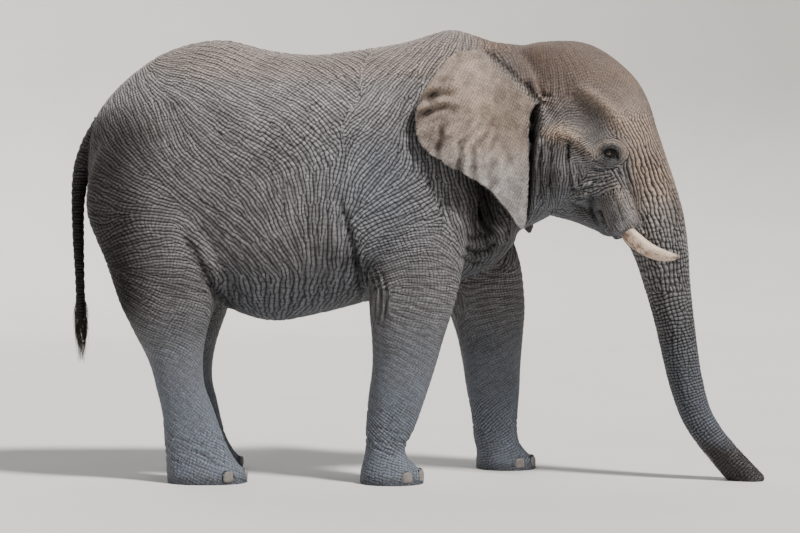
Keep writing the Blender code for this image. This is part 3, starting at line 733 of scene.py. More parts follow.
def relief(on):
    """Height in metres of the broad forms along the skin's normal, and how deep each point is in a groove."""
    u, v, z = on.u, on.v, on.z
    height, groove = np.zeros(len(u)), np.zeros(len(u))
    for *place, mm in SWELLS:
        height += mm * 0.001 * on.spot(*place)
    for line, wide, mm in STROKES:
        far, along = stroke(u, z, line)
        taper = eased(along / 0.3 + 0.15) * eased((1 - along) / 0.3 + 0.15)
        line_height = mm * np.exp(-far / wide**2) * taper
        height += 0.001 * line_height
        groove -= line_height
    near = (abs(u - 0.6) < 0.2) & (abs(z - 1.93) < 0.3)
    height[near] -= POCKET_DEPTH * eased(polygon_depth(u[near], z[near], POCKET) / POCKET_SLOPE)
    outward = eased((on.side * on.normals[:, 1] + 0.15) / 0.5) * (1 - on.ear)
    height *= outward
    groove *= outward
    ribs = 0.0025 * np.sin((u + 0.25 * (2.3 - z)) * math.tau / RIB_SPACING)
    height += ribs * on.zone(("u", -1.35, -1.15), ("u", -0.45, -0.65)) * eased(1 - abs(z - 1.95) / 0.6)
    spine = np.exp(-((v / 0.045) ** 2)) * on.zone(("up", 0.5, 0.8), ("u", 0.2, -0.2))
    height += spine * (0.010 + 0.0012 * np.sin(u * math.tau / SPINE_SPACING))
    legs = on.zone(("u", 0.9, 0.8))
    for level, mm in ANKLE_FOLDS:
        mm *= 0.55 + 0.45 * np.sin(u * 13.0 + level * 31)
        wobble = 0.012 * np.sin(u * 9.0 + level * 40) + 0.010 * np.sin(v * 17.0 + level * 25)
        wobble -= 0.35 * (u - np.round(u / 1.6) * 1.6)
        height -= mm * 0.001 * np.exp(-(((z - level - wobble) / 0.010) ** 2)) * legs
    return height, groove


# ---- wrinkles ----
# u, z, direction of the creases, direction of those that cross them, spacing in mm, depth in mm,
# share of the cross set, reach
FLOW = [
    (-2.25, 2.20, -20, 55, 22, 2.4, 0.33, 0.16),
    (-2.10, 2.25, -40, 35, 20, 2.6, 0.33, 0.16),
    (-2.22, 1.98, -20, 60, 22, 3, 0.28, 0.16),
    (-1.95, 2.45, -55, 20, 20, 2.6, 0.33, 0.18),
    (-1.70, 2.50, -70, 5, 19, 2.6, 0.28, 0.14),
    (-1.60, 2.40, -60, 15, 20, 2.8, 0.28, 0.14),
    (-1.50, 2.52, -45, 40, 20, 2.8, 0.28, 0.14),
    (-1.62, 2.82, -20, 60, 20, 2.8, 0.39, 0.16),
    (-1.95, 2.72, -50, 30, 20, 2.8, 0.39, 0.16),
    (-1.40, 2.62, -35, 45, 20, 2.6, 0.28, 0.16),
    (-1.20, 2.60, -30, 50, 22, 2.6, 0.28, 0.20),
    (-1.00, 2.70, -25, 50, 20, 2.2, 0.33, 0.20),
    (-1.30, 2.20, -40, 40, 22, 2.7, 0.3, 0.20),
    (-1.10, 2.32, -30, 50, 25, 3.0, 0.44, 0.18),
    (-0.95, 2.30, -38, 45, 25, 2.9, 0.5, 0.18),
    (-1.60, 2.10, -40, 35, 22, 3, 0.28, 0.18),
    (-1.50, 1.90, -40, 40, 24, 3, 0.22, 0.16),
    (-1.40, 1.70, -43, 30, 26, 3, 0.22, 0.16),
    (-1.20, 1.80, -40, 45, 23, 2.4, 0.28, 0.18),
    (-1.20, 1.50, -50, 30, 25, 2.1, 0.22, 0.16),
    (-1.00, 1.60, -52, 30, 24, 2.0, 0.28, 0.18),
    (-0.92, 1.85, -66, 20, 23, 2.0, 0.33, 0.18),
    (-0.85, 2.05, -76, 10, 22, 2.1, 0.39, 0.18),
    (-1.90, 2.00, -25, 45, 22, 3.2, 0.33, 0.14),
    (-1.80, 1.90, -18, 60, 20, 3.4, 0.22, 0.12),
    (-1.70, 1.85, 0, 70, 18, 3.4, 0.22, 0.12),
    (-1.90, 1.75, 18, -50, 22, 3.4, 0.55, 0.14),
    (-2.00, 1.65, 20, -50, 22, 3.4, 0.55, 0.14),
    (-1.80, 1.60, 8, -60, 20, 3.2, 0.28, 0.14),
    (-1.70, 1.50, 0, 80, 18, 3, 0.28, 0.14),
    (-1.60, 1.35, -15, 65, 18, 1.7, 0.55, 0.14),
    (-1.92, 1.30, -30, 42, 18, 2.6, 0.55, 0.16),
    (-1.70, 1.05, -20, 60, 17, 1.4, 0.6, 0.18),
    (-1.60, 0.75, -35, 60, 16, 0.7, 0.6, 0.18),
    (-1.58, 0.45, -38, 55, 16, 0.7, 0.6, 0.16),
    (-1.50, 0.15, -25, 75, 20, 1.1, 0.7, 0.16),
    (-1.02, 1.20, -75, 10, 28, 2.0, 0.14, 0.22),
    (-0.62, 1.25, -85, 0, 28, 2.0, 0.19, 0.20),
    (-0.60, 2.85, -45, 40, 21, 2.8, 0.44, 0.22),
    (-0.90, 2.90, -40, 45, 21, 2.6, 0.44, 0.22),
    (-0.70, 2.58, -45, 38, 24, 2.6, 0.5, 0.18),
    (-0.60, 2.33, -50, 42, 26, 2.8, 0.55, 0.18),
    (-0.40, 2.42, 45, -40, 22, 2.8, 0.39, 0.15),
    (-0.30, 2.28, 50, -35, 22, 2.8, 0.33, 0.13),
    (-0.20, 2.18, 50, -30, 22, 3, 0.28, 0.13),
    (-0.10, 2.00, 35, -45, 24, 3.2, 0.33, 0.14),
    (0.00, 1.90, 25, -55, 24, 3.2, 0.39, 0.14),
    (0.05, 2.30, -80, 10, 24, 2.6, 0.33, 0.14),
    (-0.10, 2.60, 60, -30, 22, 2.6, 0.33, 0.16),
    (-0.20, 2.82, 50, -35, 20, 2.6, 0.39, 0.16),
    (0.10, 2.95, 60, -20, 20, 2.5, 0.39, 0.18),
    (-0.62, 1.95, 82, -5, 24, 2.4, 0.33, 0.18),
    (-0.60, 1.65, 90, 5, 26, 2.6, 0.28, 0.18),
    (-0.50, 2.12, 68, -25, 24, 2.6, 0.33, 0.14),
    (-0.28, 1.78, 25, -50, 24, 3, 0.55, 0.12),
    (-0.10, 1.62, 14, -60, 17, 1.9, 0.65, 0.13),
    (0.02, 1.70, 8, -70, 17, 1.8, 0.7, 0.13),
    (0.10, 1.50, -5, -80, 17, 1.5, 0.7, 0.14),
    (-0.20, 1.48, 20, -60, 17, 2.0, 0.6, 0.12),
    (-0.27, 1.25, 84, 0, 30, 0.5, 0.1, 0.11),
    (-0.02, 1.22, -8, 70, 17, 1.2, 0.6, 0.14),
    (-0.08, 0.95, -25, 60, 16, 0.8, 0.6, 0.18),
    (-0.12, 0.65, -32, 58, 16, 0.65, 0.6, 0.18),
    (-0.16, 0.36, -42, 50, 19, 1.9, 0.4, 0.14),
    (-0.16, 0.12, -15, 80, 19, 1.2, 0.6, 0.14),
    (0.32, 2.05, -78, 10, 26, 2.8, 0.28, 0.18),
    (0.22, 1.62, -36, 50, 20, 1.7, 0.5, 0.10),
    (0.46, 1.68, -64, 30, 28, 2.6, 0.22, 0.18),
    (0.42, 2.60, -75, 10, 30, 3, 0.22, 0.25),
    (0.42, 3.05, 70, -10, 19, 1.2, 0.6, 0.18),
    (0.62, 2.97, -45, 40, 20, 1.0, 0.7, 0.10),
    (0.80, 2.95, -86, 5, 16, 0.7, 0.6, 0.12),
    (0.95, 2.85, -84, 8, 16, 0.75, 0.6, 0.12),
    (1.07, 2.78, -84, 5, 18, 1.3, 0.5, 0.09),
    (1.12, 2.95, -60, 30, 17, 0.6, 0.8, 0.12),
    (1.34, 2.76, 70, -20, 17, 0.6, 0.8, 0.12),
    (1.50, 2.72, 45, -45, 17, 0.6, 0.9, 0.14),
    (1.10, 2.57, 6, 80, 19, 1.5, 0.5, 0.10),
    (1.20, 2.68, -50, 20, 17, 0.8, 0.7, 0.10),
    (0.98, 2.62, 62, -20, 16, 2.2, 0.28, 0.09),
    (0.95, 2.50, 55, -30, 15, 1.8, 0.33, 0.09),
    (1.08, 2.42, -20, 60, 18, 1.2, 0.6, 0.08),
    (1.22, 2.47, -70, 20, 17, 1.0, 0.5, 0.09),
    (1.18, 2.33, 35, -35, 15, 2.4, 0.22, 0.06),
    (1.16, 2.26, 5, 70, 14, 2.6, 0.17, 0.06),
    (1.24, 2.20, -12, 70, 14, 2.6, 0.17, 0.05),
    (1.48, 2.42, -60, 20, 20, 1.8, 0.3, 0.09),
    (0.93, 2.30, 82, 0, 19, 2.6, 0.17, 0.10),
    (0.92, 2.10, 86, 0, 19, 2.8, 0.15, 0.10),
    (1.02, 2.12, 92, 0, 20, 3.0, 0.12, 0.09),
    (1.10, 2.12, 98, 5, 19, 2.7, 0.15, 0.07),
    (0.95, 1.95, 80, -5, 18, 2.4, 0.22, 0.09),
    (1.18, 2.05, 15, 80, 26, 4.4, 0.33, 0.06),
    (1.30, 2.05, 20, -50, 24, 4, 0.25, 0.06),
    (1.12, 1.88, 10, -60, 14, 2, 0.44, 0.09),
    (1.33, 1.93, -75, 10, 15, 1.3, 0.3, 0.07),
    (1.42, 1.92, -72, 10, 15, 1.2, 0.3, 0.07),
    (1.46, 1.80, -50, 30, 13, 1.8, 0.17, 0.07),
    (1.53, 1.86, -58, 25, 14, 2, 0.17, 0.07),
    (1.36, 1.75, -70, 10, 15, 1.3, 0.3, 0.07),
    (1.52, 2.22, -66, 10, 32, 6.0, 0.06, 0.10),
    (1.60, 2.42, -62, 20, 27, 3.0, 0.12, 0.12),
    (1.62, 2.10, -70, 8, 32, 7.2, 0.08, 0.10),
    (1.70, 1.90, -74, 4, 31, 6.0, 0.16, 0.10),
    (1.75, 1.68, -78, 2, 28, 5.0, 0.35, 0.10),
]


def skin_frame(on):
    """Two directions in the skin at each point: h round the body towards the head, and k up along it."""
    h = np.cross(on.normals, (0.0, 0.0, 1.0)) * on.side[:, None]
    h += 0.3 * (np.array([1.0, 0.0, 0.0]) - on.normals * on.normals[:, :1])
    h = unit(h)
    return h, np.cross(h, on.normals) * on.side[:, None]


def trunk_lean(z):
    """How far ahead the trunk goes for each metre that it drops."""
    rows = np.array(smooth_rows(TRUNK))
    heights = rows[::-1, 1]
    slope = -np.gradient(rows[::-1, 0], heights)
    return np.interp(z, heights, slope)


def flow_row(angle, other, gap, deep, mixed):
    """A row's values as they are mixed: directions as double angles, so that 0 and 180 degrees are one."""
    return np.exp(2j * np.radians(angle)), np.exp(2j * np.radians(other)), gap, deep, mixed


def flow_fields(on):
    """Crease directions as double angles, spacing, depth and the crossing set's share at each point."""
    total = np.full(len(on.z), 1e-6)
    fields = [total * start for start in (0j, 0j, 22.0, 2.2, 0.6)]
    for u, z, *row, reach in FLOW:
        weight = np.exp(-((on.u - u) ** 2 + (on.z - z) ** 2) / reach**2)
        total += weight
        for field, value in zip(fields, flow_row(*row)):
            field += weight * value
    fields = [field / total for field in fields]
    lean = np.degrees(np.arctan2(-1.0, trunk_lean(on.z)))
    gap = 26.0 - 6.5 * on.zone(("z", 1.4, 0.7))
    deep = 4.4 - 1.6 * on.zone(("z", 1.2, 0.6))
    du, dz = on.u - 1.355, on.z - 2.283
    round_eye = np.degrees(np.arctan2(dz * 1.4, du / 1.4)) + 90
    by_eye = eased((0.135 - np.hypot(du / 1.25, dz)) / 0.05) * (1 - on.ear)
    for share, *row in (
        (on.zone(("z", 1.50, 1.10), ("u", 1.46, 1.56)), lean + 90, lean + 4, gap, deep, 0.62),
        (on.zone(("v", 0.16, 0.0), ("up", 0.45, 0.75), ("u", 1.0, 0.8)), 90, 20, 18.0, 2.0, 0.6),
        (on.zone(("up", -0.4, -0.7), ("z", 0.9, 1.0), ("u", 0.9, 0.7)), 85, 0, 34.0, 2.4, 0.35),
        (on.zone(("u", -2.30, -2.35), ("v", 0.11, 0.08), ("z", 2.30, 2.15)), 0, 90, 20.0, 2.4, 0.3),
        (on.ear, 62, -25, 18.0, 0.55, 0.6),
        (by_eye, round_eye, round_eye + 80, 17.5, 1.2, 0.35),
    ):
        fields = [field * (1 - share) + share * value for field, value in zip(fields, flow_row(*row))]
    main, cross, spacing, depth, mixed = fields
    return main, cross, np.maximum(spacing, LEAST_SPACING), depth, mixed


# ---- meshes as tables ----
def fetch(rows, key, wide=1, kind=np.float32):
    """One value, or a few, of each of a mesh's points, edges, faces or corners."""
    data = np.empty(len(rows) * wide, kind)
    rows.foreach_get(key, data)
    return data.reshape(-1, wide) if wide > 1 else data


def read_points(mesh):
    return fetch(mesh.vertices, "co", 3).astype(float)


def read_normals(mesh):
    return fetch(mesh.vertex_normals, "vector", 3).astype(float)


def read_edges(mesh):
    return fetch(mesh.edges, "vertices", 2, np.int32)


def write(mesh, points):
    mesh.vertices.foreach_set("co", points.astype(np.float32).ravel())
    mesh.update()


def store(mesh, name, values):
    """A value or a vector for each point, under a name that shaders and nodes read."""
    values = np.asarray(values, np.float32)
    kind, key = ("FLOAT", "value") if values.ndim == 1 else ("FLOAT_VECTOR", "vector")
    mesh.attributes.new(name, kind, "POINT").data.foreach_set(key, values.ravel())


def store_three(mesh, name, *columns):
    store(mesh, name, np.stack(columns, 1))


def relaxed(values, edges, rounds):
    """Values at the points, each drawn halfway towards its neighbours' middle, round after round."""
    count = len(values)
    a, b = edges[:, 0], edges[:, 1]
    valence = np.maximum(np.bincount(a, minlength=count) + np.bincount(b, minlength=count), 1)
    values = values.copy()
    for _ in range(rounds):
        for i in range(values.shape[1]):
            column = values[:, i]
            total = np.bincount(a, column[b], count) + np.bincount(b, column[a], count)
            values[:, i] = column + 0.5 * (total / valence - column)
    return values


def soft_normals(mesh, rounds):
    return unit(relaxed(read_normals(mesh), read_edges(mesh), rounds))


def smooth_shaded(mesh):
    mesh.polygons.foreach_set("use_smooth", np.ones(len(mesh.polygons), bool))


# ---- one skin ----
# hollows that the ears hang over: points u, z; half width, height in mm
SLITS = [
    ([(0.830, 2.72), (0.832, 2.56), (0.824, 2.42)], 0.038, -95),
    ([(0.824, 2.42), (0.815, 2.25), (0.803, 2.05), (0.785, 1.88)], 0.022, -60),
    ([(0.70, 2.85), (0.77, 2.79), (0.83, 2.72)], 0.024, -35),
]


def carve_slits(mesh):
    """Sinks the hollows into both sides of the body."""
    points, normals = read_points(mesh), read_normals(mesh)
    u, _, side = side_places(points)
    outward = eased((side * normals[:, 1] + 0.1) / 0.5)
    for line, wide, mm in SLITS:
        push = mm * 0.001 * np.exp(-stroke_distance(u, points[:, 2], line) / wide**2) * outward
        points[:, 1] += push * side
    write(mesh, points)


LEAST_SPACING = 15.5  # the skin's faces can't show finer creases
LONG_CELL = 0.078  # grid of the main creases' pattern: the larger, the longer the creases
SHORT_CELL = 0.052  # and of the creases that cross them
WIDE_CELL = 0.176  # and of the wide folds
SPACING = 1.08  # of the creases, against the table
DEPTH = 1.65  # and their depth
PHASES = ("phase_a", "phase_b", "phase_c")
NOISES = (("broad", 1.7, 3), ("patchy", 7.0, 3), ("lumpy", 38.0, 2))  # name, scale, detail
SPENT = ("phase", "wave", "often", "broad", "patchy", "lumpy")  # patterns that go once the skin is wrinkled


def wave_nodes():
    """Nodes that store the phase of two crossing sets of creases, of wide folds, and some noise."""
    tree = bpy.data.node_groups.new("wrinkle_phases", "GeometryNodeTree")
    for way in ("INPUT", "OUTPUT"):
        tree.interface.new_socket("Geometry", in_out=way, socket_type="NodeSocketGeometry")
    place = tree.nodes.new("GeometryNodeInputPosition").outputs[0]
    flow = tree.nodes.new("NodeGroupInput").outputs[0]

    def attribute(name, kind):
        node = tree.nodes.new("GeometryNodeInputNamedAttribute")
        node.data_type = kind
        node.inputs[0].default_value = name
        return node.outputs[0]

    def pattern(kind, name, output, **numbers):
        """A texture node at each point's place, whose output is stored under a name."""
        nonlocal flow
        texture = tree.nodes.new(kind)
        for key, value in numbers.items():
            texture.inputs[key].default_value = value
        tree.links.new(place, texture.inputs["Vector"])
        keep = tree.nodes.new("GeometryNodeStoreNamedAttribute")
        keep.data_type = "FLOAT"
        keep.domain = "POINT"
        keep.inputs["Name"].default_value = name
        tree.links.new(flow, keep.inputs["Geometry"])
        tree.links.new(texture.outputs[output], keep.inputs["Value"])
        flow = keep.outputs[0]
        return texture

    for name, way, often, cell in (("phase_a", "wave_a", "often_a", LONG_CELL),
                                   ("phase_b", "wave_b", "often_b", SHORT_CELL),
                                   ("phase_c", "wave_a", "often_c", WIDE_CELL)):
        waves = pattern("ShaderNodeTexGabor", name, "Phase", Scale=1 / cell, Anisotropy=1.0)
        waves.gabor_type = "3D"
        tree.links.new(attribute(often, "FLOAT"), waves.inputs["Frequency"])
        turn = [s for s in waves.inputs if s.identifier.startswith("Orientation") and s.type == "VECTOR"][0]
        tree.links.new(attribute(way, "FLOAT_VECTOR"), turn)
    for name, scale, detail in NOISES:
        pattern("ShaderNodeTexNoise", name, 0, Scale=scale, Detail=detail, Roughness=0.55)
    tree.links.new(flow, tree.nodes.new("NodeGroupOutput").inputs[0])
    return tree


def refined(mesh, centres, reach, cuts):
    """Divides the mesh's edges where it is near one of the centres."""
    points = read_points(mesh)
    near = np.zeros(len(points), bool)
    for centre in centres:
        near |= ((points - np.array(centre)) ** 2).sum(1) < reach**2
    bm = bmesh.new()
    bm.from_mesh(mesh)
    bm.verts.ensure_lookup_table()
    chosen = {e for i in np.flatnonzero(near) for e in bm.verts[i].link_edges}
    chosen = sorted(chosen, key=lambda e: e.index)
    bmesh.ops.subdivide_edges(bm, edges=chosen, cuts=cuts, use_grid_fill=True)
    bm.to_mesh(mesh)
    bm.free()


# ---- lids and nail beds ----
def eye_middle(side):
    return turned((EYE_PLACE[0], side * EYE_PLACE[1], EYE_PLACE[2]))


def eye_frame(points, normals, side):
    """The middle of an eyeball, and its ways outward, forward and up."""
    middle = np.array(eye_middle(side))
    near = ((points - middle) ** 2).sum(1) < 0.07**2
    near &= normals[:, 1] * side > 0.3
    out = unit(normals[near].mean(0))
    ahead = np.cross((-0.10, 0.0, 1.0), out) * side
    ahead = unit(ahead * np.sign(ahead[0]))
    up = np.cross(ahead, out) * -side
    return middle, out, ahead, unit(up * np.sign(up[2]))


SOCKET_DEPTH = 0.0215  # height of the skin beside the eyeball, from the ball's middle
OPENING_LENGTH, OPENING_HEIGHT = 0.0268, 0.0172  # half sizes of the opening between the lids
LID_SPACING = 0.0125  # between the rings round the eye
# creases from the eye's corners: points forward and up from its middle, half width; all of one depth
CORNER_CREASES = [
    ([(0.026, -0.004), (0.044, -0.018), (0.062, -0.045)], 0.005),
    ([(-0.026, 0.002), (-0.050, -0.002), (-0.095, -0.030)], 0.006),
]
CORNER_DEPTH = 0.006


def lids(points, eye):
    """Shapes the skin round one eye: an opening, two lids on the ball, and the folds round them. s, t and n
    are the ways forward, up and out from the ball's middle, and ring the distance along an oval."""
    middle, out, ahead, up = eye
    rel = points - middle
    near = ((rel**2).sum(1) < 0.17**2) & (rel @ out > -0.08)
    s, t, first_n = rel[near] @ ahead, rel[near] @ up, rel[near] @ out
    upper = eased((t + 0.004) / 0.012)
    ring = np.sqrt((s / 1.42) ** 2 + (t + 0.08 * abs(s)) ** 2) + 0.0012 * np.sin(s * 90 + 1.0)
    fade = eased((0.150 - np.hypot(s, t)) / 0.05)
    socket = eased((0.092 - ring) / 0.052)
    n = first_n * (1 - socket) + socket * (SOCKET_DEPTH + 0.16 * np.maximum(ring - 0.022, 0))
    ripple = np.cos((ring - 0.038) * math.tau / LID_SPACING)
    ripple = ripple * eased((0.105 - ring) / 0.060) * eased((ring - 0.026) / 0.008)
    n += fade * (0.0034 * upper + 0.0026 * (1 - upper)) * ripple
    n += fade * upper * 0.0075 * np.exp(-(((ring - 0.0385) / 0.0070) ** 2))
    n += fade * (1 - upper) * 0.0040 * np.exp(-(((ring - 0.0300) / 0.0055) ** 2))
    for line, wide in CORNER_CREASES:
        n -= fade * CORNER_DEPTH * np.exp(-stroke_distance(s, t, line) / wide**2)
    cap = np.sqrt(np.maximum((EYE_RADIUS + 0.0032) ** 2 - s**2 - t**2, 0))
    lens = (abs(t - 0.001) / OPENING_HEIGHT + (s / OPENING_LENGTH) ** 2 - 1) * 0.0150
    cap = cap + 0.0022 * np.exp(-(((lens - 0.002) / 0.003) ** 2))
    steep = 0.003
    both = np.maximum(n, cap) + steep * np.exp(-abs(n - cap) / steep) * 0.5
    on_ball = (first_n > -0.01) & (np.hypot(s, t) < 0.05)
    n = np.where(on_ball, both - 0.021 * eased(-lens / 0.0032), n)
    points[near] = middle + s[:, None] * ahead + t[:, None] * up + n[:, None] * out


def nail_frames():
    """For each toenail: its foot's end and side, its number, its middle and the way that it faces."""
    frames = []
    for (end, word), angles in NAIL_ANGLES.items():
        for i, angle in enumerate(angles, 1):
            angle = math.radians(angle if word == "left" else -angle)
            low, high = (np.array(p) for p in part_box(f"nail_{end}_{word}_{i}"))
            frames.append((end, word, i, (low + high) / 2, np.array([math.cos(angle), math.sin(angle), 0.0])))
    return frames


def nail_beds(points):
    """Sinks the skin under each toenail and raises a soft rim round it."""
    for *_, middle, out in NAILS:
        rel = points - middle
        near = (rel**2).sum(1) < 0.09**2
        across = rel[near] @ np.array([-out[1], out[0], 0.0])
        rho = np.sqrt((across / NAIL_WIDTH) ** 2 + (rel[near][:, 2] / NAIL_HEIGHT) ** 2)
        upper = eased((rel[near][:, 2] + 0.03) / 0.03)
        push = 0.007 * np.exp(-(((rho - 1.18) / 0.16) ** 2)) * upper - 0.010 * eased((1.02 - rho) / 0.2)
        points[near] += push[:, None] * out


# ---- the skin, step by step ----
TAIL_POINTS = 32  # round the tail
EYE_FINENESS, NAIL_FINENESS = (0.125, 3), (0.062, 1)  # how far round each the mesh is finer, and its cuts
FORM_SOFTNESS, CREASE_SOFTNESS = 9, 5  # rounds that smooth the normals before forms and before creases
MELT_ROUNDS = 70
DRAWN_DEPTH = 260  # of a crease in the material, for each metre of its height


def welded_skin():
    """The body with its ears, webs, tail and jaw as one fine mesh, finer still at the eyes and nails."""
    skin = fused_body()
    carve_slits(skin.data)
    bm = bmesh.new()
    bm.from_mesh(skin.data)
    for _, side in SIDES:
        ear_mesh(bm, side)
        ear_web(bm, side)
    tail_rows = [(x, 0.0, z, r) for x, z, r in TAIL]
    loft(bm, round_path(tail_rows, 1, TAIL_POINTS))
    loft(bm, flat_path(JAW))
    bm.to_mesh(skin.data)
    bm.free()
    remeshed(skin, SKIN_VOXEL, SKIN_SMOOTHING)
    refined(skin.data, [eye_middle(side) for _, side in SIDES], *EYE_FINENESS)
    refined(skin.data, [middle for *_, middle, _ in NAILS], *NAIL_FINENESS)
    return skin


def melted(points, edges):
    """The skin's points with the ears' top front edges drawn softly into the neck."""
    x, z, _ = ear_places(points)
    melt = np.exp(-stroke_distance(x, z, EAR_TOP) / 0.085**2) * eased((z - 2.70) / 0.10)
    close = eased(1.15 - stroke_distance(x, z, EAR_TOP[:-1]) / 0.07**2)
    melt = np.maximum(melt, close * eased((z - 2.74) / 0.08))
    some = melt > 0.001
    order = np.cumsum(some) - 1
    inner = order[edges[some[edges].all(1)]]
    points[some] += melt[some, None] * (relaxed(points[some], inner, MELT_ROUNDS) - points[some])
    return points


def formed(mesh, on, points):
    """Gives the skin its broad forms, lids and nail beds. Returns the eyes and the depth in drawn grooves."""
    points = melted(points, read_edges(mesh))
    write(mesh, points)
    on.see(points, soft_normals(mesh, FORM_SOFTNESS))
    height, groove = relief(on)
    points = points + on.normals * height[:, None]
    write(mesh, points)
    normals = read_normals(mesh)
    eyes = {word: eye_frame(points, normals, side) for word, side in SIDES}
    for eye in eyes.values():
        lids(points, eye)
    nail_beds(points)
    write(mesh, points)
    on.see(points, soft_normals(mesh, CREASE_SOFTNESS))
    return eyes, groove


def crease(phase, power):
    """0 in the middle of a crease and 1 halfway to the next."""
    return abs(np.sin(math.pi * phase)) ** power


def wrinkled(skin, on):
    """Displaces the skin by its creases and wide folds, and keeps on it what the material draws them with."""
    main, cross, spacing, depth, mixed = flow_fields(on)
    h, k = skin_frame(on)
    for letter, way in (("a", main), ("b", cross)):
        angle = np.angle(way) / 2
        along = h * np.cos(angle)[:, None] + k * np.sin(angle)[:, None]
        store(skin.data, "wave_" + letter, np.cross(on.normals, along))
    store(skin.data, "often_a", LONG_CELL / (spacing * SPACING * 0.001))
    store(skin.data, "often_b", SHORT_CELL / (spacing * SPACING * 0.00125))
    store(skin.data, "often_c", WIDE_CELL / (np.clip(spacing * 3.0, 48, 95) * 0.001))
    nodes = skin.modifiers.new("waves", "NODES")
    nodes.node_group = wave_nodes()
    apply_modifiers(skin)
    mesh = skin.data
    phase_a, phase_b, phase_c, broad, patchy, lumpy = (
        fetch(mesh.attributes[name].data, "value").astype(float)
        for name in (*PHASES, *(name for name, _, _ in NOISES))
    )
    heights = DEPTH * depth * 0.001 * np.clip(0.55 + 1.9 * (patchy - 0.30), 0.35, 1.6)
    lift = heights * (crease(phase_a, 0.9) - 0.7) + heights * mixed * (crease(phase_b, 0.9) - 0.7)
    body = 1 - on.ear
    folds = (1 - 0.85 * on.spot(0.85, 2.95, 0.30, 0.25)) * on.zone(("u", 1.3, 0.9)) * body
    folds = folds * (0.4 + 1.2 * broad) * (1 - 0.70 * on.zone(("z", 1.45, 0.75)))
    lift += 0.0055 * folds * (crease(phase_c, 0.8) - 0.65) + 0.0015 * (lumpy - 0.5) * body - SKIN_SINK * body
    points = on.points + on.normals * lift[:, None]
    points[:, 2] = np.maximum(points[:, 2], 0.0)
    upright = read_normals(mesh)
    write(mesh, points)
    on.see(points, upright)
    drawn = heights * DRAWN_DEPTH
    for letter, phase, deep in (("a", phase_a, drawn), ("b", phase_b, drawn * mixed), ("c", phase_c, folds)):
        store_three(mesh, "set_" + letter, np.cos(math.tau * phase), np.sin(math.tau * phase), deep)
    for name in [layer.name for layer in mesh.attributes if layer.name.split("_")[0] in SPENT]:
        mesh.attributes.remove(mesh.attributes[name])
    smooth_shaded(mesh)


# ---- markings: the skin's own colours, and painted light and shade ----
# oval marks by what they are and where: strength, u, z, half length, half width, direction in degrees
SPOTS = {
    ("dust", "all"): [
        (0.85, 1.36, 2.60, 0.30, 0.09, -62), (0.45, 1.08, 2.42, 0.14, 0.05, -15),
        (0.90, 0.55, 3.00, 0.22, 0.09, 0),
    ],
    ("dust", "body"): [
        (0.75, 1.00, 2.43, 0.075, 0.055, 0),
    ],
    # painted highlight on the cheekbone
    ("pale", "body"): [
        (1.10, 1.00, 2.43, 0.11, 0.058, 0),
    ],
    ("pale", "all"): [
        (0.35, 1.48, 2.52, 0.06, 0.20, 30), (0.60, 1.46, 1.92, 0.07, 0.15, 25),
        (0.65, 1.70, 1.95, 0.10, 0.35, -15), (0.55, 1.61, 2.52, 0.07, 0.22, 20),
        # the spot at u 1.30 is a painted highlight along the forehead's ridge
        (0.38, 1.30, 2.65, 0.17, 0.045, -42), (0.55, 1.56, 2.30, 0.09, 0.35, 20),
    ],
    ("pale", "ear"): [
        (1.00, 0.52, 2.50, 0.30, 0.26, 0), (0.70, 0.62, 2.05, 0.25, 0.30, 0),
    ],
    ("brown", "all"): [
        (0.80, -1.88, 2.40, 0.10, 0.22, -65), (0.50, -2.20, 2.10, 0.10, 0.25, 80),
        (0.60, 1.00, 2.32, 0.18, 0.06, 0), (0.60, 1.11, 2.27, 0.07, 0.07, 0),
        (0.85, 1.36, 2.80, 0.10, 0.07, -50), (0.60, 0.85, 2.93, 0.30, 0.12, 0),
        (0.55, 1.10, 2.34, 0.10, 0.06, -20),
    ],
    ("brown", "body"): [
        (0.80, 1.195, 2.52, 0.18, 0.115, -50),
    ],
    ("brown", "ear"): [
        (0.85, 0.34, 2.88, 0.28, 0.13, 5), (0.35, 0.08, 2.60, 0.07, 0.16, 0),
    ],
    ("blue", "body"): [
        (0.55, -0.25, 2.00, 0.35, 0.45, 0),
    ],
    ("dark", "all"): [
        # the first two: the eye's dark skin, with painted shade in its socket and front corner crease
        (1.80, 1.357, 2.281, 0.050, 0.032, -8), (0.70, 1.405, 2.245, 0.036, 0.016, -48),
        # the spot at u -0.45 is painted shade in the fold behind the foreleg
        (0.60, 1.063, 2.30, 0.014, 0.10, 0), (0.35, -0.45, 1.55, 0.05, 0.35, 75),
        # the spot at u 1.35 is painted shade in the small hollow on the forehead
        (0.16, 1.35, 2.79, 0.07, 0.05, -50), (0.35, 1.18, 1.87, 0.12, 0.06, -25),
        # the spot at u -1.75 is painted shade low on the hind quarter
        (0.24, 0.92, 2.95, 0.36, 0.15, 0), (0.22, -1.75, 1.45, 0.45, 0.35, 0),
    ],
    ("dark", "body"): [
        # a wide dark patch round the eye, partly the skin's own and partly painted shade; then painted shade
        # in the hollow under the ear
        (0.18, 1.355, 2.275, 0.115, 0.080, 0), (1.15, 0.52, 1.96, 0.19, 0.34, 10),
        # the first spot is painted shade in the temple's hollow
        (0.28, 1.22, 2.54, 0.13, 0.070, -48), (0.22, 1.05, 2.08, 0.16, 0.20, 0),
    ],
    ("dark", "ear"): [
        (0.30, 0.10, 2.62, 0.15, 0.34, 0), (0.30, 0.60, 2.86, 0.20, 0.07, -42),
        # the spot at x 0.79 is painted shade along the ear's front edge, where it curves in towards the head
        (0.30, 0.79, 2.35, 0.030, 0.40, -2), (0.25, 0.70, 2.66, 0.05, 0.14, 20),
    ],
}
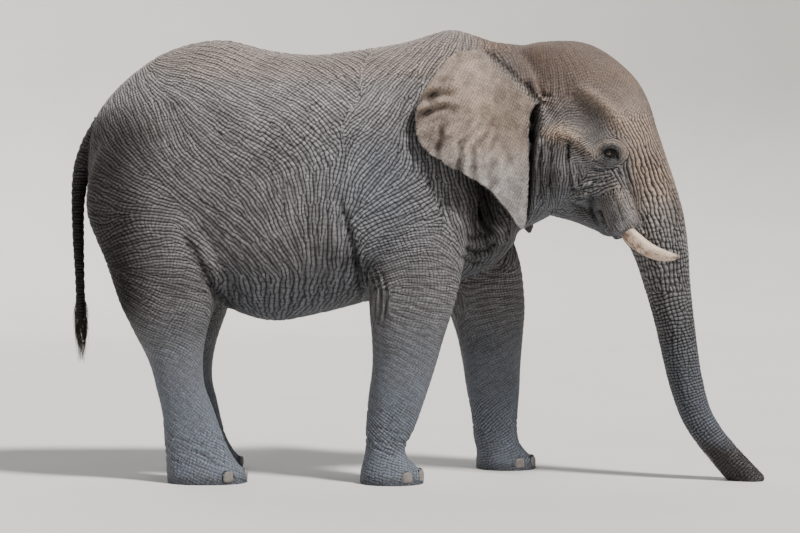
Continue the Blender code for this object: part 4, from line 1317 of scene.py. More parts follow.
# wide marks: what, strength, where, and limits as Places.zone takes them
ZONES = [
    ("dust", 0.90, "body", ("u", 0.55, 0.80), ("z", 2.42, 2.87)),
    ("dust", 0.95, "ear", ("z", 2.32, 2.77)),
    ("dust", 0.60, "all", ("u", 1.45, 1.55), ("z", 1.60, 2.10)),
    # painted light on the skin behind the shoulder where it faces up
    ("pale", 0.55, "body", ("up", -0.05, 0.65), ("z", 2.20, 2.70), ("u", 0.60, 0.30)),
    ("blue", 1.00, "all", ("z", 1.45, 0.45)),
    ("blue", 0.50, "all", ("up", -0.20, -0.70), ("z", 1.00, 1.10)),
    # painted shade on the skin that faces down, under the belly and chest
    ("dark", 0.35, "all", ("up", -0.10, -0.70), ("z", 0.90, 1.00), ("u", 0.90, 0.70)),
    ("dark", 0.50, "all", ("z", 0.09, 0.01), ("u", 1.00, 0.90)),
    ("dark", 0.80, "all", ("u", -2.30, -2.35), ("v", 0.11, 0.08), ("z", 2.20, 1.80)),
    ("dark", 0.50, "all", ("z", 1.65, 0.95), ("u", 1.50, 1.62)),
    # painted shade on the rump, which faces away from the light
    ("dark", 0.85, "all", ("u", -1.65, -2.05), ("z", 0.90, 1.30), ("z", 2.75, 2.40)),
    ("dark", 0.50, "all", ("v", 0.07, 0.03), ("up", 0.30, 0.70), ("u", -1.00, -1.40)),
    ("wet", 1.00, "all", ("z", 0.34, 0.18), ("u", 1.70, 1.80)),
    ("warm", 1.00, "ear", ("z", 2.02, 2.42)),
    ("warm", 1.00, "body", ("u", 0.75, 0.95), ("z", 1.80, 2.10)),
]
# line of painted shade in the slit that the ear hangs over
BEHIND_EAR = [(0.80, 2.77), (0.832, 2.68), (0.828, 2.5), (0.81, 2.2), (0.785, 1.86)]


def markings(mesh, on, groove):
    """Keeps on the skin how dusty, pale, brown, blue, dark, wet and warm it is at each point. Besides the
    skin's own dark patches, the dark marks hold painted shade in folds, hollows and slits and on the rump and
    undersides; besides its pale patches, the pale marks hold painted highlights on ridges, crests and the
    cheekbone and painted light where the skin faces up.
    """
    where = {"all": 1.0, "body": 1 - on.ear, "ear": on.ear}
    marks = {name: np.zeros(len(on.u)) for name in ("dust", "pale", "brown", "blue", "dark", "wet", "warm")}

    def lay(name, amount):
        join = np.maximum if name in ("dust", "warm") else np.add
        marks[name] = join(marks[name], amount)

    for (name, part), spots in SPOTS.items():
        for strength, *place in spots:
            lay(name, strength * on.spot(*place) * where[part])
    for name, strength, part, *limits in ZONES:
        lay(name, strength * on.zone(*limits) * where[part])
    back = 2.70 + 0.10 * on.zone(("u", -1.4, -1.9))
    lay("dust", 0.9 * eased((on.z - back) / 0.22) * on.zone(("up", -0.15, 0.45)))
    eye_ring = np.hypot((on.u - 1.36) / 1.25, on.z - 2.283)
    lay("pale", 0.45 * np.exp(-(((eye_ring - 0.082) / 0.020) ** 2)) * on.zone(("z", 2.22, 2.28)))
    # painted highlights on the raised folds and painted shade in the grooves
    lay("pale", 0.022 * np.clip(-groove - 4, 0, 14))
    lay("dark", (0.030 + 0.016 * on.zone(("u", 0.8, 0.9))) * np.clip(groove, 0, 16))
    # painted shade in the slit behind the ear
    lay("dark", np.exp(-stroke_distance(on.u, on.z, BEHIND_EAR) / 0.032**2) * where["body"])
    # painted shade in the ear's fold valleys and painted highlights on their crests
    ear_x, ear_z, _ = ear_places(on.points)
    valley = -ear_folds(ear_x, ear_z, np.maximum(on.ear_in, 0)) / 0.02
    lay("dark", on.ear * 0.52 * eased(valley))
    lay("pale", on.ear * 0.6 * eased(-valley - 0.15))
    marks["blue"] *= 1 - 0.9 * on.zone(("u", 1.55, 1.65), ("z", 1.2, 1.5))
    marks["ear"] = on.ear
    marks = {name: mark.clip(0, 1) for name, mark in marks.items()}
    store_three(mesh, "mark_a", marks["dust"], marks["brown"], marks["blue"])
    store_three(mesh, "mark_b", marks["dark"], marks["wet"], marks["ear"])
    store_three(mesh, "mark_c", marks["pale"], marks["warm"], marks["warm"])


# ---- materials ----
class Signal:
    """One output of a material's node, which adds, subtracts and multiplies as a number does."""

    def __init__(self, paint, socket):
        self.paint, self.socket = paint, socket

    def __add__(self, other):
        return self.paint.math("ADD", self, other)

    def __radd__(self, other):
        return self.paint.math("ADD", other, self)

    def __sub__(self, other):
        return self.paint.math("SUBTRACT", self, other)

    def __rsub__(self, other):
        return self.paint.math("SUBTRACT", other, self)

    def __mul__(self, other):
        return self.paint.math("MULTIPLY", self, other)


class Paint:
    """A short way to write a material's nodes, each of which gives a Signal."""

    def __init__(self, name):
        self.material = bpy.data.materials.new(name)
        self.material.use_nodes = True
        self.tree = self.material.node_tree
        self.at = self.make("ShaderNodeTexCoord", output="Object")

    def make(self, kind, inputs=None, output=0, **settings):
        made = self.tree.nodes.new(kind)
        for key, value in settings.items():
            setattr(made, key, value)
        for key, value in (inputs or {}).items():
            self.feed(made.inputs[key], value)
        return Signal(self, made.outputs[output])

    def feed(self, socket, value):
        if isinstance(value, Signal):
            self.tree.links.new(value.socket, socket)
        else:
            socket.default_value = value

    def math(self, how, *values, clamp=False):
        return self.make("ShaderNodeMath", dict(enumerate(values)), operation=how, use_clamp=clamp)

    def product(self, a, b):
        """a times b, kept between 0 and 1."""
        return self.math("MULTIPLY", a, b, clamp=True)

    def mix(self, share, a, b, blend="MIX"):
        """Two colours mixed: sockets 0, 6 and 7 are a colour mix's factor and colours, and 2 its result."""
        return self.make("ShaderNodeMix", {0: share, 6: a, 7: b}, 2, data_type="RGBA", blend_type=blend)

    def split(self, vector):
        node = self.make("ShaderNodeSeparateXYZ", {0: vector}).socket.node
        return [Signal(self, socket) for socket in node.outputs]

    def parts(self, name):
        """The three values that the mesh keeps under a name."""
        return self.split(self.make("ShaderNodeAttribute", output="Vector", attribute_name=name))

    def noise(self, scale, detail=3.0, rough=0.55, at=None):
        inputs = {"Vector": at or self.at, "Scale": scale, "Detail": detail, "Roughness": rough}
        return self.make("ShaderNodeTexNoise", inputs)

    def ramp(self, value, low, high, to_low=0.0, to_high=1.0):
        inputs = {"Value": value, "From Min": low, "From Max": high, "To Min": to_low, "To Max": to_high}
        return self.make("ShaderNodeMapRange", inputs)

    def bump(self, height, strength):
        return self.make("ShaderNodeBump", {"Height": height, "Distance": 1.0, "Strength": strength})

    def finish(self, colour, rough, **others):
        """Feeds the shader; a name's underscores stand for spaces."""
        shader = self.tree.nodes["Principled BSDF"]
        for key, value in dict(others, Base_Color=colour, Roughness=rough).items():
            self.feed(shader.inputs[key.replace("_", " ")], value)
        return self.material


# the skin's colours; the near black that the dark marks mix towards is also painted shade
GREY_DARK, GREY_LIGHT = (0.082, 0.081, 0.087, 1), (0.180, 0.179, 0.186, 1)
GREY_BLUE = (0.126, 0.158, 0.206, 1)
BROWN, DUST, GRAIN = (0.072, 0.056, 0.047, 1), (0.222, 0.134, 0.084, 1), (0.345, 0.300, 0.268, 1)
EAR_GREY, EAR_SAND = (0.640, 0.600, 0.565, 1), (0.630, 0.495, 0.405, 1)
PALE_GREY, PALE_SAND = (0.470, 0.445, 0.435, 1), (0.540, 0.395, 0.285, 1)
BLOTCH, DARK_AND_SHADE, WET_MUD = (0.062, 0.046, 0.038, 1), (0.012, 0.010, 0.010, 1), (0.030, 0.026, 0.025, 1)


def crease_height(p, name, power):
    """0 in the middle of a crease and 1 between two, from the phase's cosine and sine; and its depth."""
    c, s, deep = p.parts(name)
    near = p.math("DIVIDE", c, p.math("MAXIMUM", p.math("SQRT", c * c + s * s), 0.05))
    return p.math("POWER", p.product(1.0 - near, 0.5), power), deep


def crease_shade(p, high, deep, most):
    """1.4 on the ridges, falling to 1 - most in the creases where they are deep."""
    return 1.0 + p.product(deep, 1.2) * (p.ramp(high, 0.18, 0.90, 1.0 - most, 1.40) - 1.0)


def line_net(p, at, scale, wide):
    """A random net of fine lines: 0 on a line and 1 away from it."""
    far = p.make("ShaderNodeTexVoronoi", {"Vector": at, "Scale": scale, "Randomness": 1.0}, "Distance",
                 feature="DISTANCE_TO_EDGE")
    return p.math("POWER", p.ramp(far, 0.0, wide), 0.6)


def stirred(p, scale, reach):
    """The place in the mesh, moved a little by a noise."""
    stir = p.make("ShaderNodeTexNoise", {"Vector": p.at, "Scale": scale, "Detail": 2.0}, "Color")
    stir = p.make("ShaderNodeVectorMath", {0: stir, 1: (0.5, 0.5, 0.5)}, operation="SUBTRACT")
    stir = p.make("ShaderNodeVectorMath", {0: stir, "Scale": reach}, operation="SCALE")
    return p.make("ShaderNodeVectorMath", {0: p.at, 1: stir}, operation="ADD")


def skin_material():
    p = Paint("elephant_skin")
    high_a, deep_a = crease_height(p, "set_a", 0.40)
    high_b, deep_b = crease_height(p, "set_b", 0.40)
    high_c, deep_c = crease_height(p, "set_c", 0.5)
    dust, brown, blue = p.parts("mark_a")
    dark, wet, ear = p.parts("mark_b")
    pale, warm, _ = p.parts("mark_c")
    coarse, clouds = p.noise(5.0, 5.0, 0.6), p.noise(9.0, 5.0, 0.6)
    mottle, fine, grit = p.noise(19.0, 6.0, 0.68), p.noise(60.0, 4.0, 0.6), p.noise(320.0, 2.0, 0.6)
    at = stirred(p, 55.0, 0.022)
    pebble, cells = line_net(p, at, 125.0, 0.35), line_net(p, at, 62.0, 0.22)

    tone = p.mix(p.ramp(coarse, 0.32, 0.68), GREY_DARK, GREY_LIGHT)
    tone = p.mix(blue * 0.92, tone, GREY_BLUE)
    tone = p.mix(brown * 0.6, tone, BROWN)
    tone = p.mix(dust * p.ramp(coarse, 0.28, 0.66, 0.50, 1.0), tone, DUST)
    tone = p.mix(ear * 0.60, tone, p.mix(warm, EAR_GREY, EAR_SAND))
    # the pale marks, painted highlights and painted light among them
    tone = p.mix(pale * p.ramp(coarse, 0.25, 0.65, 0.45, 0.85), tone, p.mix(warm, PALE_GREY, PALE_SAND))
    tone = p.mix(p.ramp(fine, 0.35, 0.75, 0.0, 0.24), tone, GRAIN)
    spots = p.ramp(mottle, 0.62, 0.34) * p.ramp(ear, 0.0, 1.0, 0.36, 0.16)
    blotches = ear * p.ramp(clouds, 0.60, 0.38) * 0.58
    tone = p.mix(p.math("MAXIMUM", spots, blotches), tone, BLOTCH)
    # the dark marks, painted shade among them, towards near black
    tone = p.mix(dark * 0.88, tone, DARK_AND_SHADE)
    tone = p.mix(wet, tone, WET_MUD)

    lines = (1.0 - pebble) * p.ramp(ear, 0.0, 1.0, 0.42, 0.25) + (1.0 - cells) * 0.36
    light = crease_shade(p, high_a, deep_a, 0.96) * crease_shade(p, high_b, deep_b, 0.84)
    light = light * crease_shade(p, high_c, deep_c * 0.5, 0.35) * (1.0 - lines)
    shade = p.make("ShaderNodeCombineColor", {0: light, 1: light, 2: light})
    ridge = high_a * (deep_a * 0.0030) + high_b * (deep_b * 0.0030) + high_c * (deep_c * 0.0010)
    ridge = ridge + pebble * 0.0008 + cells * 0.0012 + grit * 0.0004
    rough = p.ramp(fine, 0.3, 0.7, 0.62, 0.82) - wet * 0.38 - dark * 0.22
    return p.finish(p.mix(1.0, tone, shade, "MULTIPLY"), rough, Normal=p.bump(ridge, 0.9),
                    Specular_IOR_Level=p.ramp(dark, 0.2, 1.0, 0.35, 0.08))


# ---- an unwrap of the skin, by part and by the way that it faces ----
FAR = 9.0  # further than any part of the animal
# parts with charts of their own, where a later one wins: x from and to, y from and to, highest z
CHART_PARTS = [
    (1.0, FAR, -FAR, FAR, FAR),
    (1.42, FAR, -FAR, FAR, 1.72),
    (-FAR, -1.0, -FAR, 0.0, 1.25),
    (-FAR, -1.0, 0.0, FAR, 1.25),
    (-0.7, 1.2, -FAR, 0.0, 1.35),
    (-0.7, 1.2, 0.0, FAR, 1.35),
    (-FAR, -2.31, -0.10, 0.10, 2.3),
]
MAP_EDGE, MAP_GAP = 0.002, 0.004


def packed(sizes):
    """Places for rectangles, and the scale at which all fit in a unit square, in rows of falling height."""
    order = sorted(range(len(sizes)), key=lambda i: -sizes[i][1])
    scale, end = 1.0, 1.0 - MAP_EDGE
    while True:
        places, x, y, row, fits = {}, MAP_EDGE, MAP_EDGE, 0.0, True
        for i in order:
            wide, high = sizes[i][0] * scale + MAP_GAP, sizes[i][1] * scale + MAP_GAP
            if x + wide > end:
                x, y, row = MAP_EDGE, y + row, 0.0
            fits &= x + wide <= end and y + high <= end
            places[i] = (x, y)
            x += wide
            row = max(row, high)
        if fits:
            return places, scale
        scale *= 0.985


def unwrap(mesh, ear):
    """Gives the skin its bake map, and returns the map's place of each corner and the corner's point."""
    centres, normals = fetch(mesh.polygons, "center", 3), fetch(mesh.polygons, "normal", 3)
    totals = fetch(mesh.polygons, "loop_total", 1, np.int32)
    corners = fetch(mesh.loops, "vertex_index", 1, np.int32)
    starts = np.concatenate([[0], np.cumsum(totals)[:-1]])
    x, y, z = centres.T
    part = np.zeros(len(centres), int)
    for i, (x0, x1, y0, y1, top) in enumerate(CHART_PARTS, 1):
        part[(x > x0) & (x < x1) & (y > y0) & (y < y1) & (z < top)] = i
    on_ear = ear[corners[starts]] > 0.5
    part[on_ear & (y < 0)] = len(CHART_PARTS) + 1
    part[on_ear & (y > 0)] = len(CHART_PARTS) + 2
    weights = np.where(on_ear[:, None], [0.1, 1.0, 0.1], [0.8, 1.0, 0.9])
    axis = np.argmax(abs(normals) * weights, 1)
    facing = np.take_along_axis(normals, axis[:, None], 1)[:, 0] > 0
    chart = part * 6 + axis * 2 + facing
    points = read_points(mesh)[corners]
    loop_chart = np.repeat(chart, totals)
    flat = np.zeros((len(corners), 2))
    rows = []
    for code in np.unique(chart):
        chosen = loop_chart == code
        across = [(1, 2), (0, 2), (0, 1)][(code % 6) // 2]
        place = points[chosen][:, across]
        low = place.min(0)
        flat[chosen] = place - low
        rows.append((chosen, place.max(0) - low))
    places, scale = packed([size for _, size in rows])
    for i, (chosen, _) in enumerate(rows):
        flat[chosen] = flat[chosen] * scale + np.array(places[i]) + MAP_GAP / 2
    set_map(mesh, flat)
    return flat, corners


def set_map(mesh, places):
    layer = mesh.uv_layers.new(name="OFBake")
    layer.data.foreach_set("uv", np.asarray(places, np.float32).ravel())


NAILS = nail_frames()
skin = welded_skin()
POINTS = read_points(skin.data)
on = Places(POINTS)
EYES, GROOVE = formed(skin.data, on, POINTS)
wrinkled(skin, on)
markings(skin.data, on, GROOVE)
skin.data.materials.clear()
skin.data.materials.append(skin_material())
SKIN_UV, CORNERS = unwrap(skin.data, on.ear)
FLESH_WORDS = ("torso", "neck", "head", "lower", "trunk", "leg", "foot", "ear")
FLESH = [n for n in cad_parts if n.split("_")[0] in FLESH_WORDS]
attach(skin, "root")
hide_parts(*FLESH, "tail")


# ---- eyes ----
def mesh_piece(name, verts, faces, look, nodes=()):
    """A piece of the scene in place of some nodes, and its mesh, which is returned."""
    mesh = bpy.data.meshes.new(name)
    mesh.from_pydata([tuple(map(float, p)) for p in verts], [], faces)
    smooth_shaded(mesh)
    mesh.materials.append(look)
    obj = new_object(name, mesh)
    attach(obj, "root")
    if nodes:
        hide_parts(*nodes)
    return mesh


def tube_faces(rows, columns):
    """Faces of a closed tube of points in rows, with both of its ends capped."""
    faces = []
    for r in range(rows - 1):
        for c in range(columns):
            n = (c + 1) % columns
            faces.append((r * columns + c, r * columns + n, (r + 1) * columns + n, (r + 1) * columns + c))
    faces.append(tuple(range(columns))[::-1])
    faces.append(tuple(range((rows - 1) * columns, rows * columns)))
    return faces


PUPIL_ANGLE, IRIS_ANGLE = 0.150, 0.42  # from the front of the ball, in radians
PUPIL, IRIS_DARK, IRIS_LIGHT = (0.002, 0.002, 0.002, 1), (0.030, 0.015, 0.007, 1), (0.085, 0.046, 0.020, 1)
IRIS_RIM, EYE_WHITE = (0.012, 0.008, 0.006, 1), (0.030, 0.020, 0.016, 1)


def eye_material():
    p = Paint("eye_wet")
    gaze, streak, _ = p.parts("gaze")
    lines = p.noise(7.0, 4.0, 0.7, p.make("ShaderNodeCombineXYZ", {0: streak, 1: 0.0, 2: 0.0}))
    iris = p.mix(p.ramp(lines, 0.35, 0.65), IRIS_DARK, IRIS_LIGHT)
    iris = p.mix(p.ramp(gaze, IRIS_ANGLE - 0.06, IRIS_ANGLE - 0.02), iris, IRIS_RIM)
    colour = p.mix(p.ramp(gaze, PUPIL_ANGLE, PUPIL_ANGLE + 0.015), PUPIL, iris)
    colour = p.mix(p.ramp(gaze, IRIS_ANGLE, 0.60), colour, EYE_WHITE)
    return p.finish(colour, p.ramp(gaze, 0.4, 0.8, 0.06, 0.22), Coat_Weight=1.0, Coat_Roughness=0.02)


def eyeball(word, look):
    """A ball whose front bulges into a cornea; gaze is each point's angle from the front."""
    middle, out, ahead, up = EYES[word]
    look_way = unit(out + 0.22 * ahead - 0.12 * up)
    side_way = unit(np.cross(up, look_way))
    top_way = np.cross(look_way, side_way)
    rows, columns = 40, 56
    verts, gaze = [], []
    for r in range(rows):
        angle = 0.012 + (math.pi - 0.024) * r / (rows - 1)
        bulge = 0.0016 * float(eased((0.46 - angle) / 0.16))
        for c in range(columns):
            turn = math.tau * c / columns
            way = math.cos(angle) * look_way
            way = way + math.sin(angle) * (math.cos(turn) * side_way + math.sin(turn) * top_way)
            verts.append(middle + way * (EYE_RADIUS - 0.0006 + bulge))
            gaze.append((angle, abs(turn - math.pi) * 6, 0.0))
    mesh = mesh_piece(f"eyeball_{word}", verts, tube_faces(rows, columns), look, [f"eye_{word}"])
    store(mesh, "gaze", gaze)


# ---- tusks ----
IVORY_DARK, IVORY_LIGHT, STAIN = (0.52, 0.370, 0.265, 1), (0.78, 0.630, 0.505, 1), (0.125, 0.052, 0.024, 1)
FLECK, ROOT_STAIN, TIP_STAIN = (0.10, 0.050, 0.030, 1), (0.09, 0.045, 0.028, 1), (0.11, 0.07, 0.05, 1)


def ivory_material():
    p = Paint("ivory_worn")
    c, s, along = p.parts("tusk_place")
    around = p.make("ShaderNodeCombineXYZ", {0: c * 1.6, 1: s * 1.6, 2: along * 1.4})
    streaks = p.noise(7.0, 5.0, 0.65, around)
    specks, blots = p.noise(85.0, 4.0, 0.75), p.noise(26.0, 4.0, 0.6)
    colour = p.mix(p.ramp(streaks, 0.3, 0.7), IVORY_DARK, IVORY_LIGHT)
    under = p.ramp(s, 0.65, -0.45) * p.ramp(along, 0.98, 0.35)
    colour = p.mix(p.product(under, p.ramp(blots, 0.40, 0.58)) * 0.85, colour, STAIN)
    colour = p.mix(p.product(p.ramp(specks, 0.52, 0.60), p.ramp(s, 1.0, -0.2)) * 0.80, colour, FLECK)
    colour = p.mix(p.ramp(along, 0.26, 0.12) * 0.8, colour, ROOT_STAIN)
    colour = p.mix(p.product(p.ramp(along, 0.84, 0.94), p.ramp(blots, 0.36, 0.52)) * 0.9, colour, TIP_STAIN)
    return p.finish(colour, p.ramp(streaks, 0.3, 0.7, 0.34, 0.55),
                    Normal=p.bump(streaks * 0.0030 + specks * 0.0006, 0.6))


def tusk(word, side, look):
    """A smooth curved tusk with shallow ridges along it and a chipped, blunt tip."""
    steps, columns = 10, 40
    rings = round_path(TUSK, side, columns, steps)
    last = len(rings) - 1
    verts, marks = [], []
    for i, ring in enumerate(rings):
        along = i / last
        middle = sum((Vector(p) for p in ring), Vector()) / columns
        for c, point in enumerate(ring):
            turn = math.tau * c / columns
            ridges = 0.012 * math.sin(turn * 9 + along * 3) + 0.010 * math.sin(turn * 17 - along * 5)
            chip = 0.34 * max(0.0, along - 0.90) * 10 * max(0.0, math.sin(turn * 2.0 + 0.6))
            verts.append(turned(middle + (Vector(point) - middle) * (1 + ridges - chip)))
            marks.append((math.sin(turn), -math.cos(turn), along))
    faces = tube_faces(len(rings), columns)
    mesh = mesh_piece(f"ivory_{word}", verts, faces, look, [f"tusk_{word}"])
    store(mesh, "tusk_place", marks)
    fix_normals(mesh)


def fix_normals(mesh):
    bm = bmesh.new()
    bm.from_mesh(mesh)
    bmesh.ops.recalc_face_normals(bm, faces=bm.faces)
    bm.to_mesh(mesh)
    bm.free()


# ---- toenails ----
HORN_DARK, HORN_LIGHT = (0.120, 0.110, 0.104, 1), (0.215, 0.196, 0.180, 1)
HORN_DIRT, HORN_MUD = (0.095, 0.080, 0.068, 1), (0.080, 0.062, 0.050, 1)
NAIL_POWER = 3.2  # how square a nail's outline is


def nail_material():
    p = Paint("toenail_horn")
    upright = p.make("ShaderNodeMapping", {"Vector": p.at, "Scale": (3, 3, 0.5)})
    streaks, dirt = p.noise(60.0, 4.0, 0.6, upright), p.noise(24.0, 5.0, 0.65)
    lift = p.split(p.at)[2]
    colour = p.mix(p.ramp(streaks, 0.3, 0.7), HORN_DARK, HORN_LIGHT)
    colour = p.mix(p.ramp(dirt, 0.40, 0.65) * 0.7, colour, HORN_DIRT)
    colour = p.mix(p.ramp(lift, 0.035, 0.010) * 0.7, colour, HORN_MUD)
    return p.finish(colour, p.ramp(dirt, 0.3, 0.7, 0.50, 0.80), Normal=p.bump(streaks * 0.004, 0.5))


def nail_point(number, middle, out, a, b, outer):
    """A point of a nail's outer or inner sheet, from -1 to 1 across it and from its lower edge up."""
    grow = 1 / max(1.0, (abs(a) ** NAIL_POWER + abs(b) ** NAIL_POWER) ** (1 / NAIL_POWER))
    a, b = a * grow, b * grow
    rim = max(0.0, 1 - (abs(a) ** NAIL_POWER + abs(b) ** NAIL_POWER)) ** 0.5
    low = 0.0015 * math.sin(a * 9 + number * 2) * (b < -0.8)
    high = NAIL_HEIGHT * b * (0.93 if b < 0 else 1.0) + low
    wave = 0.0005 * math.sin(a * 22 + number)
    thick = (0.0125 * rim + wave - 0.005 * a * a) if outer else -0.010
    width = NAIL_WIDTH * (1.0 - 0.10 * b)
    across = np.array([-out[1], out[0], 0.0]) * width * a
    return middle + across + np.array([0, 0, high]) + out * (thick + 0.001)


def toenails(end, word, look):
    """All the nails of one foot: arched shields, flat at the ground, with a worn lower edge."""
    verts, faces, names = [], [], []
    rows, columns = 17, 21
    half = rows * columns
    border = [c for c in range(columns)] + [r * columns + columns - 1 for r in range(1, rows)]
    border += [(rows - 1) * columns + c for c in range(columns - 2, -1, -1)]
    border += [r * columns for r in range(rows - 2, 0, -1)]
    for nail_end, nail_word, number, middle, out in NAILS:
        if (nail_end, nail_word) != (end, word):
            continue
        names.append(f"nail_{end}_{word}_{number}")
        first = len(verts)
        for outer in (True, False):
            for r in range(rows):
                for c in range(columns):
                    a, b = 2 * c / (columns - 1) - 1, 2 * r / (rows - 1) - 1
                    verts.append(nail_point(number, middle, out, a, b, outer))
        for r in range(rows - 1):
            for c in range(columns - 1):
                a, b = first + r * columns + c, first + (r + 1) * columns + c
                faces.append((a, a + 1, b + 1, b))
                faces.append((a + half, b + half, b + 1 + half, a + 1 + half))
        for i, here in enumerate(border):
            after = border[(i + 1) % len(border)]
            faces.append((first + here, first + here + half, first + after + half, first + after))
    fix_normals(mesh_piece(f"toenails_{end}_{word}", verts, faces, look, names))


# ---- hair ----
def hair_material():
    p = Paint("coarse_hair")
    colour = p.mix(p.noise(120.0), (0.010, 0.009, 0.008, 1), (0.045, 0.036, 0.030, 1))
    return p.finish(colour, p.ramp(p.noise(300.0), 0.3, 0.7, 0.55, 0.75), Specular_IOR_Level=0.25)


class Strands:
    """Many three-sided hairs as one mesh, with each hair's patch of the bake map at its root's place."""

    def __init__(self):
        self.verts, self.faces, self.uvs = [], [], []

    def add(self, path, radius, place):
        first, last = len(self.verts), len(path) - 1
        for i, point in enumerate(path):
            ahead = path[min(i + 1, last)] - path[max(i - 1, 0)]
            ahead = ahead / (np.linalg.norm(ahead) + 1e-9)
            side_way = np.cross(ahead, (0.31, 0.77, 0.56))
            side_way /= np.linalg.norm(side_way) + 1e-9
            other = np.cross(ahead, side_way)
            thin = radius * (1 - 0.85 * (i / last) ** 1.5)
            for k in range(3):
                a = math.tau * k / 3
                self.verts.append(point + thin * (math.cos(a) * side_way + math.sin(a) * other))
        for i in range(last):
            for k in range(3):
                n = (k + 1) % 3
                a, b = first + i * 3, first + (i + 1) * 3
                self.faces.append((a + k, a + n, b + n, b + k))
                u0, u1 = place[0] + 0.001 * k, place[0] + 0.001 * (k + 1)
                v0, v1 = place[1] + 0.003 * i / last, place[1] + 0.003 * (i + 1) / last
                self.uvs += [(u0, v0), (u1, v0), (u1, v1), (u0, v1)]
        for end, flip in ((first, True), (first + last * 3, False)):
            face = (end, end + 1, end + 2)
            self.faces.append(face[::-1] if flip else face)
            self.uvs += [place, (place[0] + 0.001, place[1]), (place[0], place[1] + 0.001)]

    def piece(self, name, look, nodes=()):
        set_map(mesh_piece(name, self.verts, self.faces, look, nodes), self.uvs)


TAIL_HAIRS, TIP_HAIRS = 330, 150  # in all, and of them at the tail's very end


def tail_hair(look):
    """Stiff wiry hairs along the tail's front and back edges, bowed out and gathered below its tip."""
    rng = np.random.default_rng(7)
    strands = Strands()
    rows = np.array([(row[0], row[1]) for row in smooth_rows(TAIL)])
    tip_x = TAIL[-1][0]
    for i in range(TAIL_HAIRS):
        low = i < TIP_HAIRS
        z0 = 1.118 + (0.03 if low else 0.17) * rng.random() ** 1.7
        x0 = float(np.interp(-z0, -rows[:, 1], rows[:, 0]))
        turn = rng.random() * math.tau if low else rng.normal(0, 0.4) + math.pi * (rng.random() < 0.5)
        out = np.array([math.cos(turn), 0.8 * math.sin(turn), 0.0])
        root = np.array([x0, 0.0, z0]) + out * (0.026 if z0 > 1.14 else 0.012)
        end = np.array([tip_x + rng.normal(0.004, 0.016), rng.normal(0, 0.014), rng.uniform(0.80, 0.98)])
        if not low and rng.random() < 0.25:
            end = root + out * rng.uniform(0.0, 0.03) - np.array([0.0, 0.0, rng.uniform(0.08, 0.16)])
        bow = root + out * rng.uniform(0.010, 0.062) - np.array([0.0, 0.0, rng.uniform(0.05, 0.14)])
        curl = rng.normal(0, 0.006, 3)
        path = []
        for k in range(12):
            t = k / 11
            point = root * (1 - t) ** 2 + bow * 2 * t * (1 - t) + end * t * t
            path.append(point + curl * math.sin(t * 6.0) * t)
        place = (0.02 + 0.9 * (turn % math.tau) / math.tau, (z0 - 1.1) * 2.4)
        strands.add(path, rng.uniform(0.0009, 0.0017), place)
    strands.piece("tail_hair", look, ["tail_tuft"])


LASHES, UPPER_LASHES, BRISTLES = 96, 64, 2600


def lashes(look):
    """Long lashes on the upper lid and short ones on the lower."""
    rng = np.random.default_rng(11)
    strands = Strands()
    for middle, out, ahead, up in EYES.values():
        for i in range(LASHES):
            upper = i < UPPER_LASHES
            s = rng.uniform(-0.025, 0.026)
            arch = 1 - (s / 0.0275) ** 2
            t = 0.001 + (0.0180 if upper else -0.0180) * arch
            n = math.sqrt(max(0.0, (EYE_RADIUS + 0.0042) ** 2 - s * s - t * t))
            root = middle + s * ahead + t * up + n * out
            length = rng.uniform(0.026, 0.046) if upper else rng.uniform(0.012, 0.022)
            droop = -0.42 if upper else -0.55
            way = out * 0.95 + ahead * (0.30 + s * 16 + rng.normal(0, 0.08))
            way = way + up * (droop + rng.normal(0, 0.10))
            path = [root + way * length * k / 5 - up * length * 0.25 * (k / 5) ** 2 for k in range(6)]
            strands.add(path, 0.00045, (0.02 + 0.9 * rng.random(), 0.02 + 0.9 * rng.random()))
    strands.piece("lashes", look)


def bristles(look):
    """Sparse stiff hairs on the chin, brow, trunk, crown and back, rooted on the skin."""
    rng = np.random.default_rng(3)
    skin_points, skin_normals = read_points(skin.data), read_normals(skin.data)
    z = skin_points[:, 2]
    chance = 0.25 + 1.5 * eased((on.u - 1.1) / 0.3) + 2.5 * on.spot(1.25, 1.85, 0.25, 0.12)
    chance += 1.2 * eased((skin_normals[:, 2] - 0.5) / 0.4) * eased((z - 2.4) / 0.4)
    chance *= (1 - 0.8 * on.ear) * (np.hypot(on.u - 1.36, z - 2.28) > 0.06)
    chance /= chance.sum()
    roots = rng.choice(len(skin_points), BRISTLES, replace=False, p=chance)
    order = np.argsort(CORNERS, kind="stable")
    corners = order[np.searchsorted(CORNERS[order], roots)]
    strands = Strands()
    for root, corner in zip(roots, corners):
        normal = skin_normals[root]
        way = normal * 0.8 + np.array([-0.15, 0.0, -0.45]) + rng.normal(0, 0.12, 3)
        length = rng.uniform(0.010, 0.032)
        start = skin_points[root] - normal * 0.001
        sag = np.array([0, 0, 0.2 * length])
        path = [start + way * length * k / 3 - sag * (k / 3) ** 2 for k in range(4)]
        if min(point[2] for point in path) < 0.002:
            continue
        strands.add(path, rng.uniform(0.0003, 0.0005), tuple(SKIN_UV[corner]))
    strands.piece("bristles", look)


eye_look, ivory_look = eye_material(), ivory_material()
nail_look, hair_look = nail_material(), hair_material()
for word, side in SIDES:
    eyeball(word, eye_look)
    tusk(word, side, ivory_look)
for end, word in NAIL_ANGLES:
    toenails(end, word, nail_look)
tail_hair(hair_look)
lashes(hair_look)
bristles(hair_look)


# ---- stage, light and camera ----
FLOOR_DARK, FLOOR_LIGHT = (0.62, 0.60, 0.57, 1), (0.68, 0.66, 0.63, 1)
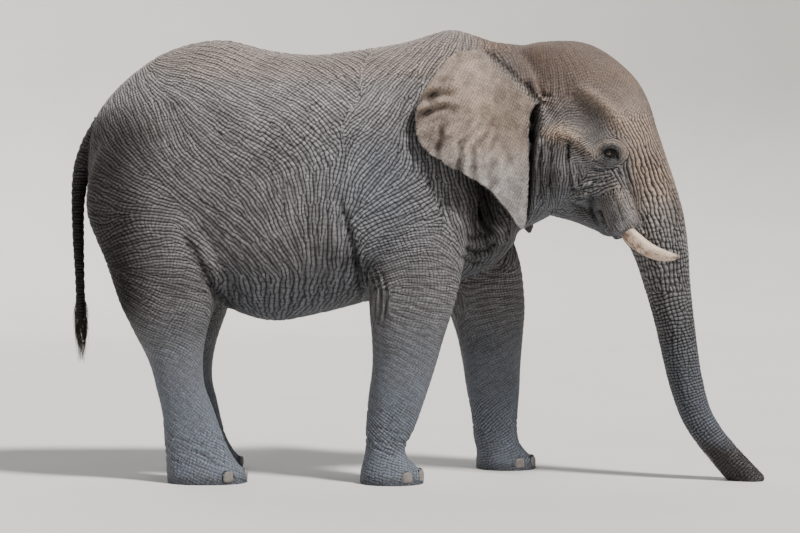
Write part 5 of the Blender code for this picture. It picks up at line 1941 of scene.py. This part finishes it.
# name, way towards the light, how wide it looks in degrees, strength, colour
LIGHTS = [
    ("key", (5.2, -4.0, 8.1), 9.0, 6.0, (1.0, 0.98, 0.96)),
    ("front", (7.0, -3.2, 1.4), 40.0, 1.30, (1.0, 0.99, 0.97)),
    ("fill", (-7.5, -7.0, 4.0), 50.0, 0.30, (0.88, 0.94, 1.0)),
    ("rim", (-2.0, 6.0, 7.0), 45.0, 1.1, (0.93, 0.96, 1.0)),
]
SKY_COLOUR, SKY_STRENGTH = (0.80, 0.85, 0.92, 1), 0.19
CAMERA_PLACE = (-0.098, -10.9, 1.35)
CAMERA_TILT = math.radians(0.819)  # upwards
SENSOR_WIDTH, LENS = 36.0, 67.68  # in mm


def stage():
    """A round pale floor whose far edge curves up all round, wide enough for every view to be inside it."""
    bm = bmesh.new()
    flat, bend, rise, count = 30.0, 8.0, 16.0, 96
    rows = [(flat * share, 0.0) for share in (0.1, 0.4, 0.7, 1.0)]
    turns = np.linspace(0.1, math.pi / 2, 12)
    rows += [(flat + bend * math.sin(a), bend - bend * math.cos(a)) for a in turns]
    rows.append((flat + bend, rise))
    turns = [math.tau * k / count for k in range(count)]
    loops = [[bm.verts.new((r * math.cos(t), r * math.sin(t), z)) for t in turns] for r, z in rows]
    bm.faces.new(loops[0])
    for low, high in zip(loops, loops[1:]):
        for k in range(count):
            n = (k + 1) % count
            bm.faces.new((low[k], high[k], high[n], low[n]))
    mesh = bpy.data.meshes.new("floor")
    bm.to_mesh(mesh)
    bm.free()
    smooth_shaded(mesh)
    floor = new_object("floor", mesh)
    p = Paint("studio_floor")
    mesh.materials.append(p.finish(p.mix(p.noise(0.6), FLOOR_DARK, FLOOR_LIGHT), 0.9))


def lights():
    for name, way, spread, strength, colour in LIGHTS:
        data = bpy.data.lights.new(name, "SUN")
        data.angle = math.radians(spread)
        data.energy = strength
        data.color = colour
        lamp = new_object(name, data)
        lamp.location = Vector(way)
        lamp.rotation_euler = (-Vector(way)).to_track_quat("-Z", "Y").to_euler()
    world = bpy.data.worlds.new("studio")
    world.use_nodes = True
    world.node_tree.nodes["Background"].inputs["Color"].default_value = SKY_COLOUR
    world.node_tree.nodes["Background"].inputs["Strength"].default_value = SKY_STRENGTH
    bpy.context.scene.world = world


def camera():
    data = bpy.data.cameras.new("camera")
    data.sensor_width = SENSOR_WIDTH
    data.lens = LENS
    data.clip_end = 200.0
    eye = new_object("camera", data)
    eye.location = CAMERA_PLACE
    eye.rotation_euler = (math.radians(90) + CAMERA_TILT, 0, 0)
    bpy.context.scene.camera = eye


stage()
lights()
camera()
